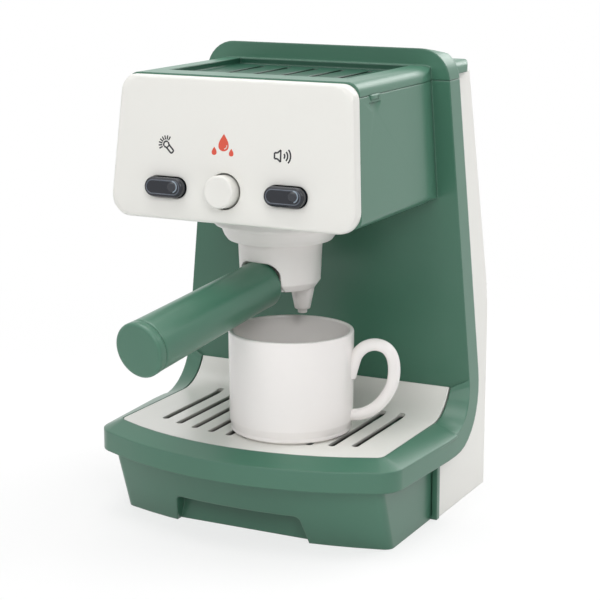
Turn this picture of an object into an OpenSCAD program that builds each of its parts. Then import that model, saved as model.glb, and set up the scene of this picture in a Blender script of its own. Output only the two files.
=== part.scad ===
/* [Front shell] */
// Height to the top of the back frame
total_h = 233.5; // [230:0.5:238]
// Width of the back frame at its top
frame_top_w = 134.6; // [132:0.2:139]
// Width across the lower edge of the tray rim
rim_w = 171; // [169:0.5:176]
// Height of the lower edge of the tray rim above the table
rim_bottom_z = 33.6; // [33:0.1:37]
// Height of the upright skirt round the tray rim
skirt_h = 10.2; // [8:0.1:12]
// Rise of the sloping rim from the skirt to the drip grate
bevel_h = 4.6; // [3:0.1:5]
// Distance from the frame's face to the middle of the rim's bowed front
tray_reach = 113.4; // [110:0.2:118]
// Radius of the rim's bowed front, seen from above
rim_bow_r = 165; // [150:5:220]
// Radius of the rim's two front corners
rim_corner_r = 14; // [9:0.5:18]
// Narrowing of the rim on each side, from the bay to its front corners
rim_taper = 3.6; // [0:0.2:5]
// Place of the frame's front face behind the origin
wall_y = 25; // [23:0.5:27]
// Depth of the frame's side flange, front to back
flange_d = 13; // [11:0.5:15]
// Radius of the sweep from the frame's face into the tray rim
sweep_r = 23; // [20:0.5:26]
// Radius of the rear edge where the flange turns into the skirt
flange_sweep_r = 36; // [32:0.5:40]
// Radius of the frame's two top corners
frame_corner_r = 16; // [12:0.5:20]
// Wall thickness of the moulded shells
wall = 2.4; // [2:0.1:3]

/* [Head] */
// Height of the frame above the parting line between shell and top cover
cap_h = 15.5; // [13:0.5:18]
// Height of the head from its underside to the parting line
head_h = 59.3; // [57:0.1:62]
// How far the head's sides turn in where they meet the frame
turn_in = 2.6; // [1:0.1:4]
// Length over which the head's sides turn in
turn_l = 20; // [12:1:28]
// Width of the head at the parting line
head_top_w = 122.8; // [118:0.2:126]
// Width of the head at its underside
head_low_w = 131.6; // [129:0.2:135]
// Distance from the frame's face to the panel's back at the parting line
head_reach = 90.9; // [88:0.1:93]
// Backward lean of the control panel, in degrees
panel_lean = 5.4; // [4:0.2:7]
// Height of the head cover above the parting line
cover_h = 7; // [6:0.5:10]
// Radius along the two long edges of the head cover
cover_edge_r = 6; // [4:0.5:6]
// Radius of the thumb scoop under the cover's edge
scoop_r = 14; // [10:1:18]
// Distance from the frame's face to the thumb scoop
scoop_reach = 74; // [60:1:80]
// Depth of the thumb scoop at the parting line
scoop_d = 1.7; // [1:0.1:2]

/* [Top cover] */
// Distance from the flange to the back of the rear lip
lip_d = 22.5; // [20:0.5:25]
// Height of the top of the rear lip above the parting line
lip_rise = 8.4; // [7:0.2:11]
// Height of the underside of the rear lip above the parting line
lip_gap = 2.3; // [1:0.1:4]
// Fall of the frame's top from front to back
cap_fall = 3.2; // [0:0.2:4]
// Length of the grille openings, front to back
grille_l = 73; // [60:1:74]
// Width of the recess that holds the grille
grille_w = 96; // [90:1:102]
// Number of openings in the grille
grille_n = 5; // [4:1:8]
// Distance from one opening of the grille to the next
grille_pitch = 15.2; // [10:0.1:16]
// Width of one opening of the grille
grille_slot = 3.2; // [2:0.1:5]
// Depth of the grille's recess
grille_recess = 3; // [1:0.5:3.5]
// Radius of the lid hinge's pins
hinge_pin_r = 1.2; // [1:0.1:1.4]
// Length of each lid hinge pin
hinge_pin_l = 18; // [14:1:22]

/* [Control panel] */
// Thickness of the panel
panel_t = 6; // [5:0.2:7]
// How far the panel hangs below the underside of the head
panel_drop = 2.4; // [1:0.1:4]
// Height of the panel's upper edge above the parting line
panel_rise = 6.2; // [5:0.2:8]
// Radius of the panel's upper corners
panel_corner_r = 8; // [6:0.5:10]
// Radius of the panel's lower corners
panel_low_r = 10; // [6:0.5:12]
// Bevel round the panel's front edge
panel_edge = 2.2; // [1:0.2:3]
// Height of the row of buttons, measured up the panel from its lower edge
button_row = 15.5; // [13:0.1:19]
// Shift of the round button across the panel
button_shift = -3; // [-4:0.1:4]
// Shift of the point midway between the oval buttons
oval_shift = -2; // [-4:0.1:4]
// Distance from that point to each oval button
oval_pitch = 32; // [29:0.1:34]
// Length of an oval button
oval_l = 20.8; // [18:0.1:23]
// Height of an oval button
oval_h = 9.4; // [8:0.1:12]
// Diameter of the round button
round_d = 16; // [14:0.2:19]
// How far the oval buttons stand out of the panel
oval_out = 4.4; // [3:0.2:5]
// How far the round button stands out of the panel
round_out = 6.2; // [4:0.2:7]
// Gap round the oval buttons
oval_gap = 0.35; // [0.25:0.05:0.6]
// Gap round the round button
round_gap = 0.6; // [0.3:0.05:0.9]
// Travel of the three buttons
button_travel = 1.6; // [1:0.1:2]

/* [Brewing group] */
// Distance from the frame's face to the group's axis
group_reach = 49.8; // [46:0.2:54]
// Outer radius of the portafilter bowl
bowl_r = 21; // [19:0.1:23]
// How far the group's collar hangs below the head
collar_h = 16.7; // [15:0.1:18]
// How far the bowl hangs below the collar
bowl_h = 24; // [22:0.5:26]
// Outer radius of the collar's ring
ring_r = 28.9; // [27:0.1:31]
// Outer radius of the collar's flange
flange_r = 33.3; // [31:0.1:36]
// Radius of the fixed spigot that the bowl turns on
spigot_r = 6; // [5:0.1:7]
// Running clearance between spigot and bowl
spigot_clear = 0.06; // [0.02:0.01:0.1]
// Angle of the handle from straight ahead, towards the left
handle_turn = 9; // [0:1:20]
// Downward slope of the handle, in degrees
handle_drop = 9; // [5:0.5:12]
// Distance from the group's axis to the end of the handle
handle_l = 109; // [100:1:118]
// Radius of the handle where it enters the bowl
handle_neck_r = 11.4; // [9:0.1:12]
// Radius of the handle at its free end
handle_end_r = 13.4; // [12:0.1:14.5]
// Distance from the group's axis to the spout's axis
spout_reach = 11; // [10:0.2:11.4]
// Direction of the spout, in degrees from the machine's right side
spout_turn = 27; // [0:1:60]
// Radius of the spout's cone where it leaves the bowl
spout_r = 6.2; // [5:0.1:6.4]

/* [Tray and drawer] */
// Width of the drip grate
grate_w = 144.4; // [142:0.2:150]
// Thickness of the drip grate
grate_t = 2.2; // [1.8:0.1:2.6]
// Radius of the grate's bowed front, seen from above
grate_bow_r = 155; // [130:5:180]
// Width of the rim between the grate and the front of the skirt
grate_margin = 10.2; // [9:0.2:14]
// Rise of the grate's curved back above its flat part
grate_rise = 13.8; // [12:0.2:17]
// Number of drain slots
slot_n = 11; // [7:2:13]
// Distance from one drain slot to the next
slot_pitch = 10.6; // [9:0.1:11]
// Width of a drain slot
slot_w = 3.6; // [2:0.2:4]
// Gap round the grate in its seat
grate_gap = 0.35; // [0.2:0.05:0.5]
// Width of the water drawer
drawer_w = 148.6; // [144:0.2:150]
// Distance from the frame's face to the foot of the drawer's bowed front
drawer_reach = 90; // [88:0.5:93]
// Radius of the drawer's bowed front, seen from above
drawer_bow_r = 240; // [180:5:260]
// Backward slope of the drawer's front, in degrees
drawer_slope = 20; // [14:1:22]
// Width of the finger notch at the table
notch_w = 75; // [68:1:80]
// Height of the finger notch
notch_h = 14.8; // [12:0.2:16]
// Depth of the finger notch
notch_d = 7.2; // [6:0.2:14]
// Shift of the finger notch across the drawer
notch_shift = -2.4; // [-4:0.1:4]
// Running gap between drawer and frame
drawer_gap = 0.5; // [0.3:0.05:0.7]
// Distance that the drawer pulls out
drawer_travel = 78; // [60:1:80]

/* [Rear housing] */
// Width of the rear housing at the table
rear_w = 153.6; // [151:0.2:155]
// Height at which the rear housing's sides start to lean in
rear_knee_z = 88; // [84:1:92]
// Step from the flange's side in to the rear housing
rear_inset = 4.2; // [3.6:0.1:4.6]
// Place of the rear housing's back behind the origin
rear_y = 67.5; // [64:0.5:70]
// Forward lean of the rear housing's back above the knee
rear_lean = 5; // [1:0.2:6]
// Width of the battery door
door_w = 62; // [60:1:70]
// Height of the battery door
door_h = 66; // [62:1:72]
// Gap round the battery door
door_gap = 0.3; // [0.2:0.05:0.5]

/* [Mug] */
// Outer radius of the mug
mug_r = 31; // [29:0.2:31.4]
// Gap between the spout's tip and the mug's rim
spout_gap = 4.6; // [3:0.1:7]
// Wall thickness of the mug
mug_wall = 2.4; // [2:0.1:3]
// Place of the mug to the right of the middle
mug_x = 11.9; // [8:0.1:14]
// Distance from the frame's face to the mug's axis
mug_reach = 61.3; // [58:0.1:64]
// Direction of the mug's handle, in degrees from the machine's right side
mug_turn = 14; // [0:1:30]
// Thickness of the mug's handle
mug_grip_d = 5.6; // [5:0.2:6.4]
// How far the mug's handle reaches from the mug's axis
mug_grip_reach = 51.6; // [49:0.2:54]

/* [Works] */
// Diameter of an AA cell
cell_d = 14.5; // [14:0.1:14.6]
// Length of an AA cell
cell_l = 50.5; // [49:0.1:50.6]
// Diameter of the pump's motor
motor_d = 20; // [18:0.5:24]
// Length of the pump's motor
motor_l = 25; // [22:0.5:27]
// Outer diameter of the water tube
tube_d = 6; // [5:0.5:7]
// Diameter of the loudspeaker
speaker_d = 36; // [32:1:40]
// Diameter of the heads of the case screws
screw_head_d = 5.6; // [5:0.1:6]

/* [Hidden] */

green = "#5f8a76";
ivory = "#ecebe7";
smoke = "#3b414b";

// Small overlap that lets a cutter pass a face
eps = 0.01;
// Space that plain parts of one body keep from each other
seat = 0.1;
// Number of steps in a drawn arc
arc_n = 10;

part_z = total_h - cap_h;
head_bottom_z = part_z - head_h;
cover_top_z = part_z + cover_h;
lip_top_z = part_z + lip_rise;
lip_low_z = part_z + lip_gap;
panel_bottom_z = head_bottom_z - panel_drop;
panel_top_z = part_z + panel_rise;
collar_bottom_z = head_bottom_z - collar_h;
bowl_bottom_z = collar_bottom_z - bowl_h;
crease_z = rim_bottom_z + skirt_h;
deck_z = crease_z + bevel_h;
rim_front_y = wall_y - tray_reach;
flange_y = wall_y + flange_d;
lip_y = flange_y + lip_d;
panel_lift = wall_y - head_reach;
group_y = wall_y - group_reach;
group = [0, group_y, 0];
drawer_foot_y = wall_y - drawer_reach;
drawer_top_z = rim_bottom_z - drawer_gap;

// ---- plane geometry ----
function unit(v) = v / norm(v);
// Corner at b, between a and c, drawn as n+1 points on an arc of radius r
function arc_at(a, b, c, r, n) =
    let (u = unit(a - b), v = unit(c - b), half = acos(u * v) / 2,
        t = r / tan(half), o = b + unit(u + v) * (r / sin(half)),
        p = b + u * t - o, q = b + v * t - o,
        a0 = atan2(p[1], p[0]), turn = (atan2(q[1], q[0]) - a0 + 540) % 360 - 180)
    [for (i = [0:n]) o + r * [cos(a0 + turn * i / n), sin(a0 + turn * i / n)]];
// Closed outline with a radius at each corner; a radius of 0 leaves it sharp
function rounded(pts, radii, n = 6) = let (m = len(pts))
    [for (i = [0:m - 1]) each (radii[i] > 0
        ? arc_at(pts[(i + m - 1) % m], pts[i], pts[(i + 1) % m], radii[i], n) : [pts[i]])];
// Points on a bow of radius r whose middle lies at y, from x = -half to half
function bow(half, y, r, n = 12) =
    [for (i = [0:n]) let (x = half * (2 * i / n - 1)) [x, y + r - sqrt(r * r - x * x)]];
// Depth of that bow where it meets the sides
function bow_end(half, y, r) = y + r - sqrt(r * r - half * half);
// Plan with a rounded front corner on each side and a bowed front. Each side runs straight
// to the knee and from there in by the taper.
function bowed(half, front, r, corner, back, taper = 0, knee = 0) = let (
        nose = half - taper, b = bow(nose - corner, front, r), e = bow_end(nose, front, r),
        side = taper > 0 ? [[half, knee], [half, back]] : [[half, back]],
        right = arc_at(b[len(b) - 1], [nose, e], side[0], corner, 6),
        all = concat(right, side))
    concat([for (i = [len(all) - 1:-1:0]) [-all[i][0], all[i][1]]], [for (i = [1:len(b) - 2]) b[i]], all);

// Curve through the points of a path, with n steps from each to the next
function smooth(p, n) = let (m = len(p)) [for (i = [0:m - 1], j = [0:(i < m - 1 ? n - 1 : 0)])
    let (t = j / n, a = p[max(i - 1, 0)], b = p[i], c = p[min(i + 1, m - 1)], d = p[min(i + 2, m - 1)])
    0.5 * (2 * b + (c - a) * t + (2 * a - 5 * b + 4 * c - d) * t * t + (3 * b - a - 3 * c + d) * t * t * t)];

// Half width of the front shell at a height
function shell_half(z) = rim_w / 2
    + (frame_top_w - rim_w) / 2 * (z - rim_bottom_z) / (total_h - rim_bottom_z);
// Half width of the head at a height
function head_half(z) = head_top_w / 2
    + (head_low_w - head_top_w) / 2 * (part_z - z) / (part_z - head_bottom_z);
// Half width of the rear housing at a height
function rear_half(z) = z < rear_knee_z ? rear_w / 2
    : rear_w / 2 + (shell_half(part_z) - rear_inset - rear_w / 2)
    * (z - rear_knee_z) / (part_z - rear_knee_z);
// Place of the panel's back at a height
function panel_back(z) = panel_lift - (part_z - z) * tan(panel_lean);
function rear_back(z) = rear_y - (z > rear_knee_z
    ? rear_lean * (z - rear_knee_z) / (part_z - rear_knee_z) : 0);

// ---- helpers ----
// Outline in X and Z, drawn out along Y from y0 to y1
module along_y(y0, y1) {
    translate([0, y1, 0]) rotate([90, 0, 0]) linear_extrude(y1 - y0) children();
}
// Outline in Y and Z, drawn out along X and centred
module along_x(w) {
    translate([-w / 2, 0, 0]) rotate([90, 0, 90]) linear_extrude(w) children();
}
module slab(pts, z0, z1) {
    translate([0, 0, z0]) linear_extrude(z1 - z0) polygon(pts);
}
module pair() {
    children();
    mirror([1, 0, 0]) children();
}
// Round bar of radius r along a path in the plane of X and Z
module sweep(path, r, k) {
    n = len(path);
    rings = [for (i = [0:n - 1]) let (d = unit(path[min(i + 1, n - 1)] - path[max(i - 1, 0)]),
        u = cross(d, [0, 1, 0]))
        for (j = [0:k - 1]) path[i] + r * (u * cos(360 * j / k) + [0, sin(360 * j / k), 0])];
    sides = [for (i = [0:n - 2], j = [0:k - 1]) let (a = i * k + j, b = i * k + (j + 1) % k)
        [a, b, b + k, a + k]];
    polyhedron(rings, concat(sides, [[for (j = [k - 1:-1:0]) j]], [[for (j = [0:k - 1]) (n - 1) * k + j]]));
}
module stadium(l, h) {
    for (s = [-1, 1]) translate([s * (l - h) / 2, 0]) circle(d = h, $fn = 48);
    square([l - h, h], center = true);
}
// Frame of the control panel: X across, Y up the panel, Z out of its front
module on_panel(out = 0) {
    translate([0, panel_back(panel_bottom_z), panel_bottom_z])
        rotate([90 - panel_lean, 0, 0]) translate([0, 0, out]) children();
}
module at_group(turn = 0) {
    translate(group) rotate([0, 0, turn]) children();
}

// ---- front shell ----
function rim_plan(inset = 0, back = wall_y + flange_d) = bowed(rim_w / 2 - inset,
    rim_front_y + inset, rim_bow_r - inset, rim_corner_r - min(inset, 9), back, rim_taper, rib_y - 4);
// Side view of the frame's wall, the sweep and the rim
function side_view(skin = 0) = concat(
    [[flange_y, total_h + 1], [wall_y + skin, total_h + 1]],
    [for (i = [0:arc_n]) let (a = 90 * i / arc_n)
        [wall_y - sweep_r + (sweep_r + skin) * cos(a), crease_z + sweep_r - (sweep_r + skin) * sin(a)]],
    [[rim_front_y - 5, crease_z - skin], [rim_front_y - 5, rim_bottom_z]],
    [for (i = [0:arc_n]) let (a = 90 - 90 * i / arc_n)
        [flange_y - flange_sweep_r + flange_sweep_r * cos(a),
            rim_bottom_z + flange_sweep_r - flange_sweep_r * sin(a)]]);
function frame_outline(inset, top) = rounded(
    [[-shell_half(0) + inset, 0], [shell_half(0) - inset, 0],
        [shell_half(top) - inset, top - inset], [-shell_half(top) + inset, top - inset]],
    [0, 0, frame_corner_r - inset, frame_corner_r - inset], 8);
module blade(z0, z1) {
    intersection() {
        along_x(rim_w + 2) polygon(side_view());
        along_y(rim_front_y - 6, flange_y + 1) polygon(frame_outline(0, total_h));
        slab(rim_plan(), z0, z1);
    }
}
// Hollow behind the frame's wall and under the deck, open to the rear and below
module blade_hollow() {
    low = rim_bottom_z - 1;
    lap = rear_half(0) + 0.2;
    under = rim_w / 2 - wall;
    intersection() {
        along_x(rim_w) polygon(concat([[flange_y + 1, part_z + 1], [wall_y + wall, part_z + 1]],
            [for (i = [0:arc_n]) let (a = 90 * i / arc_n, r = sweep_r + wall)
                [wall_y - sweep_r + r * cos(a), crease_z + sweep_r - r * sin(a)]],
            [[rim_front_y - 1, crease_z - wall], [rim_front_y - 1, low], [flange_y + 1, low]]));
        along_y(rim_front_y - 6, flange_y + 1) polygon([[-under, low - 1], [under, low - 1],
            [under, crease_z], [lap, crease_z + 6], [lap, rear_knee_z],
            [rear_half(part_z) + 0.2, part_z + 1], [-rear_half(part_z) - 0.2, part_z + 1],
            [-lap, rear_knee_z], [-lap, crease_z + 6], [-under, crease_z]]);
        slab(rim_plan(wall, flange_y + 1), low, part_z + 1);
    }
}
// Outline of the rear housing in X and Z, grown by a gap
function rear_outline(grow, z0, z1) = [[-rear_half(z0) - grow, z0], [rear_half(z0) + grow, z0],
    [rear_half(rear_knee_z) + grow, rear_knee_z], [rear_half(z1) + grow, z1],
    [-rear_half(z1) - grow, z1], [-rear_half(rear_knee_z) - grow, rear_knee_z]];
function grate_half() = grate_w / 2;
function grate_plan(grow = 0, back = wall_y) = bowed(grate_half() + grow,
    rim_front_y + grate_margin - grow, grate_bow_r, 5, back);
// Side view of the grate: flat, then an arc that rises to the frame's wall
grate_turn = acos(1 - grate_rise / sweep_r);
grate_arc_y = wall_y - grate_t - sweep_r * sin(grate_turn);
function grate_side(front, top, skin) = concat([[front, deck_z - skin], [front, deck_z + top]],
    [for (i = [0:arc_n]) let (a = grate_turn * i / arc_n)
        [grate_arc_y + (sweep_r - top) * sin(a), deck_z + sweep_r - (sweep_r - top) * cos(a)]],
    [for (i = [arc_n:-1:0]) let (a = grate_turn * i / arc_n)
        [grate_arc_y + (sweep_r + skin) * sin(a), deck_z + sweep_r - (sweep_r + skin) * cos(a)]]);
// Sloping band that joins the grate's edge to the crease of the rim
module rim_bevel() {
    hull() {
        slab(rim_plan(0, wall_y - sweep_r + 0.6), crease_z - 1, crease_z);
        slab(grate_plan(0.8, wall_y - sweep_r + 0.6), deck_z - 0.2, deck_z);
    }
}
module sweep_bevel() {
    n = arc_n;
    outer = [for (i = [0:n]) let (a = 90 * i / n, z = crease_z + sweep_r - sweep_r * sin(a))
        [shell_half(z) - 0.01, wall_y - sweep_r + sweep_r * cos(a), z]];
    inner = [for (i = [0:n]) let (a = grate_turn * (1 - i / n))
        [grate_half() + 0.8, grate_arc_y + sweep_r * sin(a), deck_z + sweep_r - sweep_r * cos(a)]];
    back = [0, 2.4, -2.4];
    m = n + 1;
    pts = concat(outer, inner, [for (p = inner) p + back], [for (p = outer) p + back]);
    sides = [for (i = [0:n - 1], k = [0:3]) let (a = k * m + i, b = ((k + 1) % 4) * m + i)
        [a, a + 1, b + 1, b]];
    polyhedron(pts, concat(sides, [[0, m, 2 * m, 3 * m]], [[3 * m + n, 2 * m + n, m + n, n]]));
}
head_view = [[panel_back(part_z), part_z], [panel_back(head_bottom_z), head_bottom_z],
    [wall_y + 1, head_bottom_z], [wall_y + 1, part_z]];
function head_outline(inset, side = 0) = let (in = inset + side) rounded(
    [[-head_half(head_bottom_z) + in, head_bottom_z + inset],
        [head_half(head_bottom_z) - in, head_bottom_z + inset],
        [head_half(part_z) - in, part_z + 1], [-head_half(part_z) + in, part_z + 1]],
    [4 - inset, 4 - inset, 0, 0], 4);
// What the head's side loses where it turns in towards the frame, on the right
module side_turn() {
    lean = atan((head_low_w - head_top_w) / 2 / head_h);
    translate([head_half(head_bottom_z), wall_y, head_bottom_z]) rotate([0, -lean, 0])
        translate([0, 0, -4]) linear_extrude(head_h + cover_h + 8) polygon(concat(
            [[8, -turn_l], [0, -turn_l]],
            [for (i = [1:arc_n]) [-turn_in * pow(i / arc_n, 2), turn_l * (i / arc_n - 1)]],
            [[-turn_in, 2], [8, 2]]));
}
module head_tub() {
    difference() {
        intersection() {
            along_x(head_low_w + 4) polygon(head_view);
            along_y(panel_lift - 20, wall_y + 1) polygon(head_outline(0));
        }
        pair() side_turn();
        along_y(panel_lift - 20, wall_y - turn_l) polygon(head_outline(wall));
        along_y(panel_lift - 20, wall_y - 1) polygon(head_outline(wall, turn_in));
    }
}
// Bulkhead across the foot of the shell, with the window that the drawer slides through
rib_t = 3.4;
rib_y = -4;
sill_h = 1.8;
module bulkhead() {
    w = rear_w / 2 + 0.8;
    u = rim_w / 2 - wall + 0.5;
    k = drawer_w / 2 + drawer_gap;
    along_y(rib_y, rib_y + rib_t) difference() {
        polygon([[-w, 0], [w, 0], [w, rim_bottom_z], [u, rim_bottom_z], [u, crease_z - 1],
            [-u, crease_z - 1], [-u, rim_bottom_z], [-w, rim_bottom_z]]);
        translate([-k, sill_h]) square([2 * k, drawer_top_z + drawer_gap - sill_h]);
    }
}
module front_shell() {
    color(green) difference() {
        union() {
            difference() {
                blade(0, part_z);
                blade_hollow();
            }
            rim_bevel();
            pair() sweep_bevel();
            head_tub();
            bulkhead();
            shell_bosses();
        }
        grate_seat();
        head_openings();
        for (b = boss_at) translate([b[0], wall_y + wall + 2, b[1]]) rotate([-90, 0, 0])
            cylinder(r = screw_r + 0.05, h = 40, $fn = 24);
    }
}
// Bosses on the back of the wall: four for the case screws, four for the main board
module shell_bosses() {
    for (b = boss_at) translate([b[0], wall_y + 1, b[1]]) rotate([-90, 0, 0])
        cylinder(r = 4, h = boss_y - wall_y - 1, $fn = 32);
    for (x = [board_x + 4, board_x + board_w - 4], z = [board_z + 4, board_z + board_h - 4])
        translate([x, wall_y + 1, z]) rotate([-90, 0, 0])
            cylinder(r = 2.5, h = board_y - wall_y - 1, $fn = 32);
}
// Seat of the grate, and the drain opening under it
module grate_seat() {
    intersection() {
        along_x(grate_w + 2 * grate_gap)
            polygon(grate_side(rim_front_y, 8, grate_t + 0.05));
        slab(grate_plan(grate_gap, wall_y), deck_z - 20, deck_z + 30);
    }
    slab(bowed(grate_half() - 6, rim_front_y + grate_margin + 7, grate_bow_r - 6, 4, grate_arc_y - 4),
        rim_bottom_z - 1, deck_z);
}
collar_neck_r = 24;
module head_openings() {
    // seat of the group collar in the floor of the head
    at_group() translate([0, 0, head_bottom_z - 1]) cylinder(r = collar_neck_r + 0.2, h = wall + 2,
        $fn = 96);
    // way for wires and the water tube into the frame
    translate([-45, wall_y - 3, head_bottom_z + 8]) cube([90, 8, part_z - head_bottom_z - 7]);
    // thumb scoop under the edge of the cover
    pair() translate([head_half(part_z) + scoop_r - scoop_d, wall_y - scoop_reach, part_z]) rotate([0,
        -19, 0])
        translate([0, 0, -20]) cylinder(r = scoop_r, h = 21, $fn = 96);
}

// ---- rear housing ----
function rear_side(skin) = let (r = flange_sweep_r - 5, c = [flange_y - flange_sweep_r,
    rim_bottom_z + flange_sweep_r])
    concat([[rib_y + rib_t + seat, 0], [rib_y + rib_t + seat, rim_bottom_z - 0.2], [c[0],
        rim_bottom_z - 0.2],
        [c[0], c[1] - r]],
        [for (i = [1:arc_n]) let (a = 90 - 90 * i / arc_n) c + r * [cos(a), -sin(a)]],
        [[flange_y - 5, part_z - seat], [flange_y + seat, part_z - seat],
            [flange_y + seat, lip_low_z - seat], [rear_back(lip_low_z) - skin, lip_low_z - seat],
            [rear_back(rear_knee_z) - skin, rear_knee_z], [rear_y - skin, 0]]);
module rear_shape(inset) {
    intersection() {
        along_x(rear_w - 2 * inset) polygon(rear_side(inset));
        along_y(-10, rear_y + 1) polygon(rear_outline(-inset, -1, lip_low_z + 1));
    }
}
// Vertical edges at the back, rounded by a plan outline
function rear_plan(inset) = rounded([[-rear_w / 2 - 1, -10], [rear_w / 2 + 1, -10],
    [rear_w / 2 - inset, rear_y - inset], [-rear_w / 2 + inset, rear_y - inset]], [0, 0, 5, 5], 5);
door_z = 16;
door_t = 2;
boss_at = [[-60, part_z - 68], [60, part_z - 68], [-66, 66], [66, 66]];
boss_y = 42;
screw_r = 1.45;
head_seat_y = boss_y + 4;
module rear_housing() {
    color(ivory) difference() {
        union() {
            difference() {
                intersection() {
                    rear_shape(0);
                    slab(rear_plan(0), -1, total_h);
                }
                rear_hollow();
            }
            for (b = boss_at) translate([b[0], boss_y, b[1]]) rotate([-90, 0, 0])
                cylinder(r = 5, h = rear_back(b[1]) - 1 - boss_y, $fn = 32);
            battery_box();
            for (s = [-1, 1], k = [-1, 1]) translate([s * hinge_x + k * knuckle_at, 0, 0])
                lid_knuckle(knuckle_w);
        }
        for (b = boss_at) translate([b[0], boss_y - 1, b[1]]) rotate([-90, 0, 0]) {
            cylinder(r = screw_r + 0.15, h = 30, $fn = 24);
            translate([0, 0, head_seat_y - boss_y + 1]) cylinder(d = screw_head_d + 0.6, h = 30, $fn = 32);
        }
        // doorway of the battery box
        translate([-door_w / 2 - door_gap, rear_y - door_t - 0.05, door_z - door_gap])
            cube([door_w + 2 * door_gap, 10, door_h + 2 * door_gap]);
        translate([-door_w / 2 + 3, rear_y - wall - box_d + 2, door_z + 3])
            cube([door_w - 6, box_d + 5, door_h - 6]);
        // catch for the door's tab
        translate([-8.2, rear_y - door_t - 3.2, door_z + door_h - 4]) cube([16.4, 4, 5.2]);
        // speaker holes in two rings
        on_back(speaker_z, 1) for (k = [0:2]) for (i = [0:(k == 0 ? 0 : 6 * k - 1)])
            rotate([0, 0, i * 60 / max(k, 1)]) translate([k * 5.5, 0, -wall - 2])
                cylinder(r = 1.1, h = wall + 4, $fn = 16);
        hinge_bore(hinge_pin_r + 0.03);
        // room for the cover's knuckles
        for (s = [-1, 1]) translate([s * hinge_x, hinge_y, hinge_z]) rotate([0, 90, 0])
            translate([0, 0, -knuckle_at + knuckle_w / 2]) cylinder(r = knuckle_r + 0.3,
                h = 2 * knuckle_at - knuckle_w, $fn = 48);
    }
}
module rear_hollow() {
    intersection() {
        along_x(rear_w - 2 * wall) polygon([[-20, -1], [-20, total_h],
            [rear_back(part_z) - wall, total_h], [rear_back(part_z) - wall, part_z],
            [rear_y - wall, rear_knee_z], [rear_y - wall, -1]]);
        along_y(-20, rear_y) polygon(rear_outline(-wall, -1, part_z - wall + 0.6));
    }
}
// Frame on the back wall: Z inward, Y up the wall
back_lean = atan(rear_lean / (part_z - rear_knee_z));
module on_back(z, out = 0) {
    translate([0, rear_back(z), z]) rotate([90 + back_lean, 0, 0]) translate([0, 0, out]) children();
}
speaker_z = 118;
cell_pitch = cell_d + 1.2;
box_d = cell_d + 2.4;
// Open box behind the door, for three cells side by side, with the frame that seats the door
module battery_box() {
    translate([-door_w / 2 + 1, rear_y - wall - box_d, door_z + 1])
        cube([door_w - 2, box_d + 0.5, door_h - 2]);
    translate([-door_w / 2 - 3, rear_y - wall - 2, door_z - 3]) cube([door_w + 6, 2.5, door_h + 6]);
}
// Barrel hinge of the top cover, along the back edge of its lip
hinge_x = 38;
hinge_y = lip_y + 0.6;
hinge_z = lip_low_z - 0.05;
knuckle_r = 2.6;
knuckle_w = 4;
knuckle_at = 6;
module lid_knuckle(w) {
    translate([-w / 2, hinge_y, hinge_z]) rotate([0, 90, 0]) cylinder(r = knuckle_r, h = w, $fn = 48);
}
module hinge_bore(r) {
    for (s = [-1, 1]) translate([s * hinge_x - 12, hinge_y, hinge_z]) rotate([0, 90, 0])
        cylinder(r = r, h = 24, $fn = 32);
}
module lid_hinge_pins() {
    color("silver") for (s = [-1, 1]) translate([s * hinge_x - hinge_pin_l / 2, hinge_y, hinge_z])
        rotate([0, 90, 0]) cylinder(r = hinge_pin_r, h = hinge_pin_l, $fn = 32);
}

// ---- base plate ----
module base_plate() {
    w = rear_w / 2 - wall - seat;
    color(green) difference() {
        translate([-w, rib_y + rib_t + seat, 0])
            cube([2 * w, rear_y - wall - seat - (rib_y + rib_t + seat), sill_h]);
        // drain and vent slots under the pump
        for (i = [0:4]) translate([-20 + i * 10, 34, -1]) cube([3, 18, sill_h + 2]);
    }
}

// ---- top cover ----
module top_cover() {
    color(green) difference() {
        union() {
            head_cover();
            frame_cap();
            rear_lip();
            for (s = [-1, 1]) translate([s * hinge_x, 0, 0]) lid_knuckle(2 * knuckle_at - knuckle_w - 0.6);
        }
        cover_hollow();
        grille();
        // room for the housing's knuckles
        for (s = [-1, 1], k = [-1, 1]) translate([s * hinge_x + k * knuckle_at - knuckle_w / 2 - 0.3,
            hinge_y, hinge_z]) rotate([0, 90, 0])
                cylinder(r = knuckle_r + 0.3, h = knuckle_w + 0.6, $fn = 48);
        hinge_bore(hinge_pin_r + 0.06);
    }
}
lid_z = part_z + 0.2;
cover_front_y = panel_back(panel_top_z) + 0.2;
module head_cover() {
    w = head_half(part_z);
    difference() {
        along_y(cover_front_y, wall_y + 1) polygon(rounded(
            [[-w, lid_z], [w, lid_z], [w - 0.4, cover_top_z], [-w + 0.4, cover_top_z]],
            [0, 0, cover_edge_r, cover_edge_r], 8));
        pair() side_turn();
    }
}
module frame_cap() {
    intersection() {
        along_y(wall_y, flange_y) polygon(frame_outline(0, total_h));
        along_x(rim_w) polygon([[wall_y, lid_z], [wall_y, total_h], [flange_y, total_h - cap_fall],
            [flange_y, lid_z]]);
    }
}
module rear_lip() {
    w = shell_half(lip_top_z) - 0.4;
    intersection() {
        slab(rounded([[-w, flange_y - 1], [w, flange_y - 1], [w, lip_y], [-w, lip_y]], [0, 0, 11, 11], 8),
            lip_low_z, lip_top_z);
        along_y(flange_y - 1, lip_y + 1) polygon(rounded(
            [[-w, lid_z - 1], [w, lid_z - 1], [w, lip_top_z], [-w, lip_top_z]], [0, 0, 5, 5], 6));
        along_x(2 * w + 2) polygon(rounded([[flange_y - 3, lid_z - 1], [lip_y, lid_z - 1],
            [lip_y, lip_top_z], [flange_y - 3, lip_top_z]], [0, 0, 5.5, 0], 6));
    }
}
cap_roof_z = total_h - cap_fall - wall;
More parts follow.
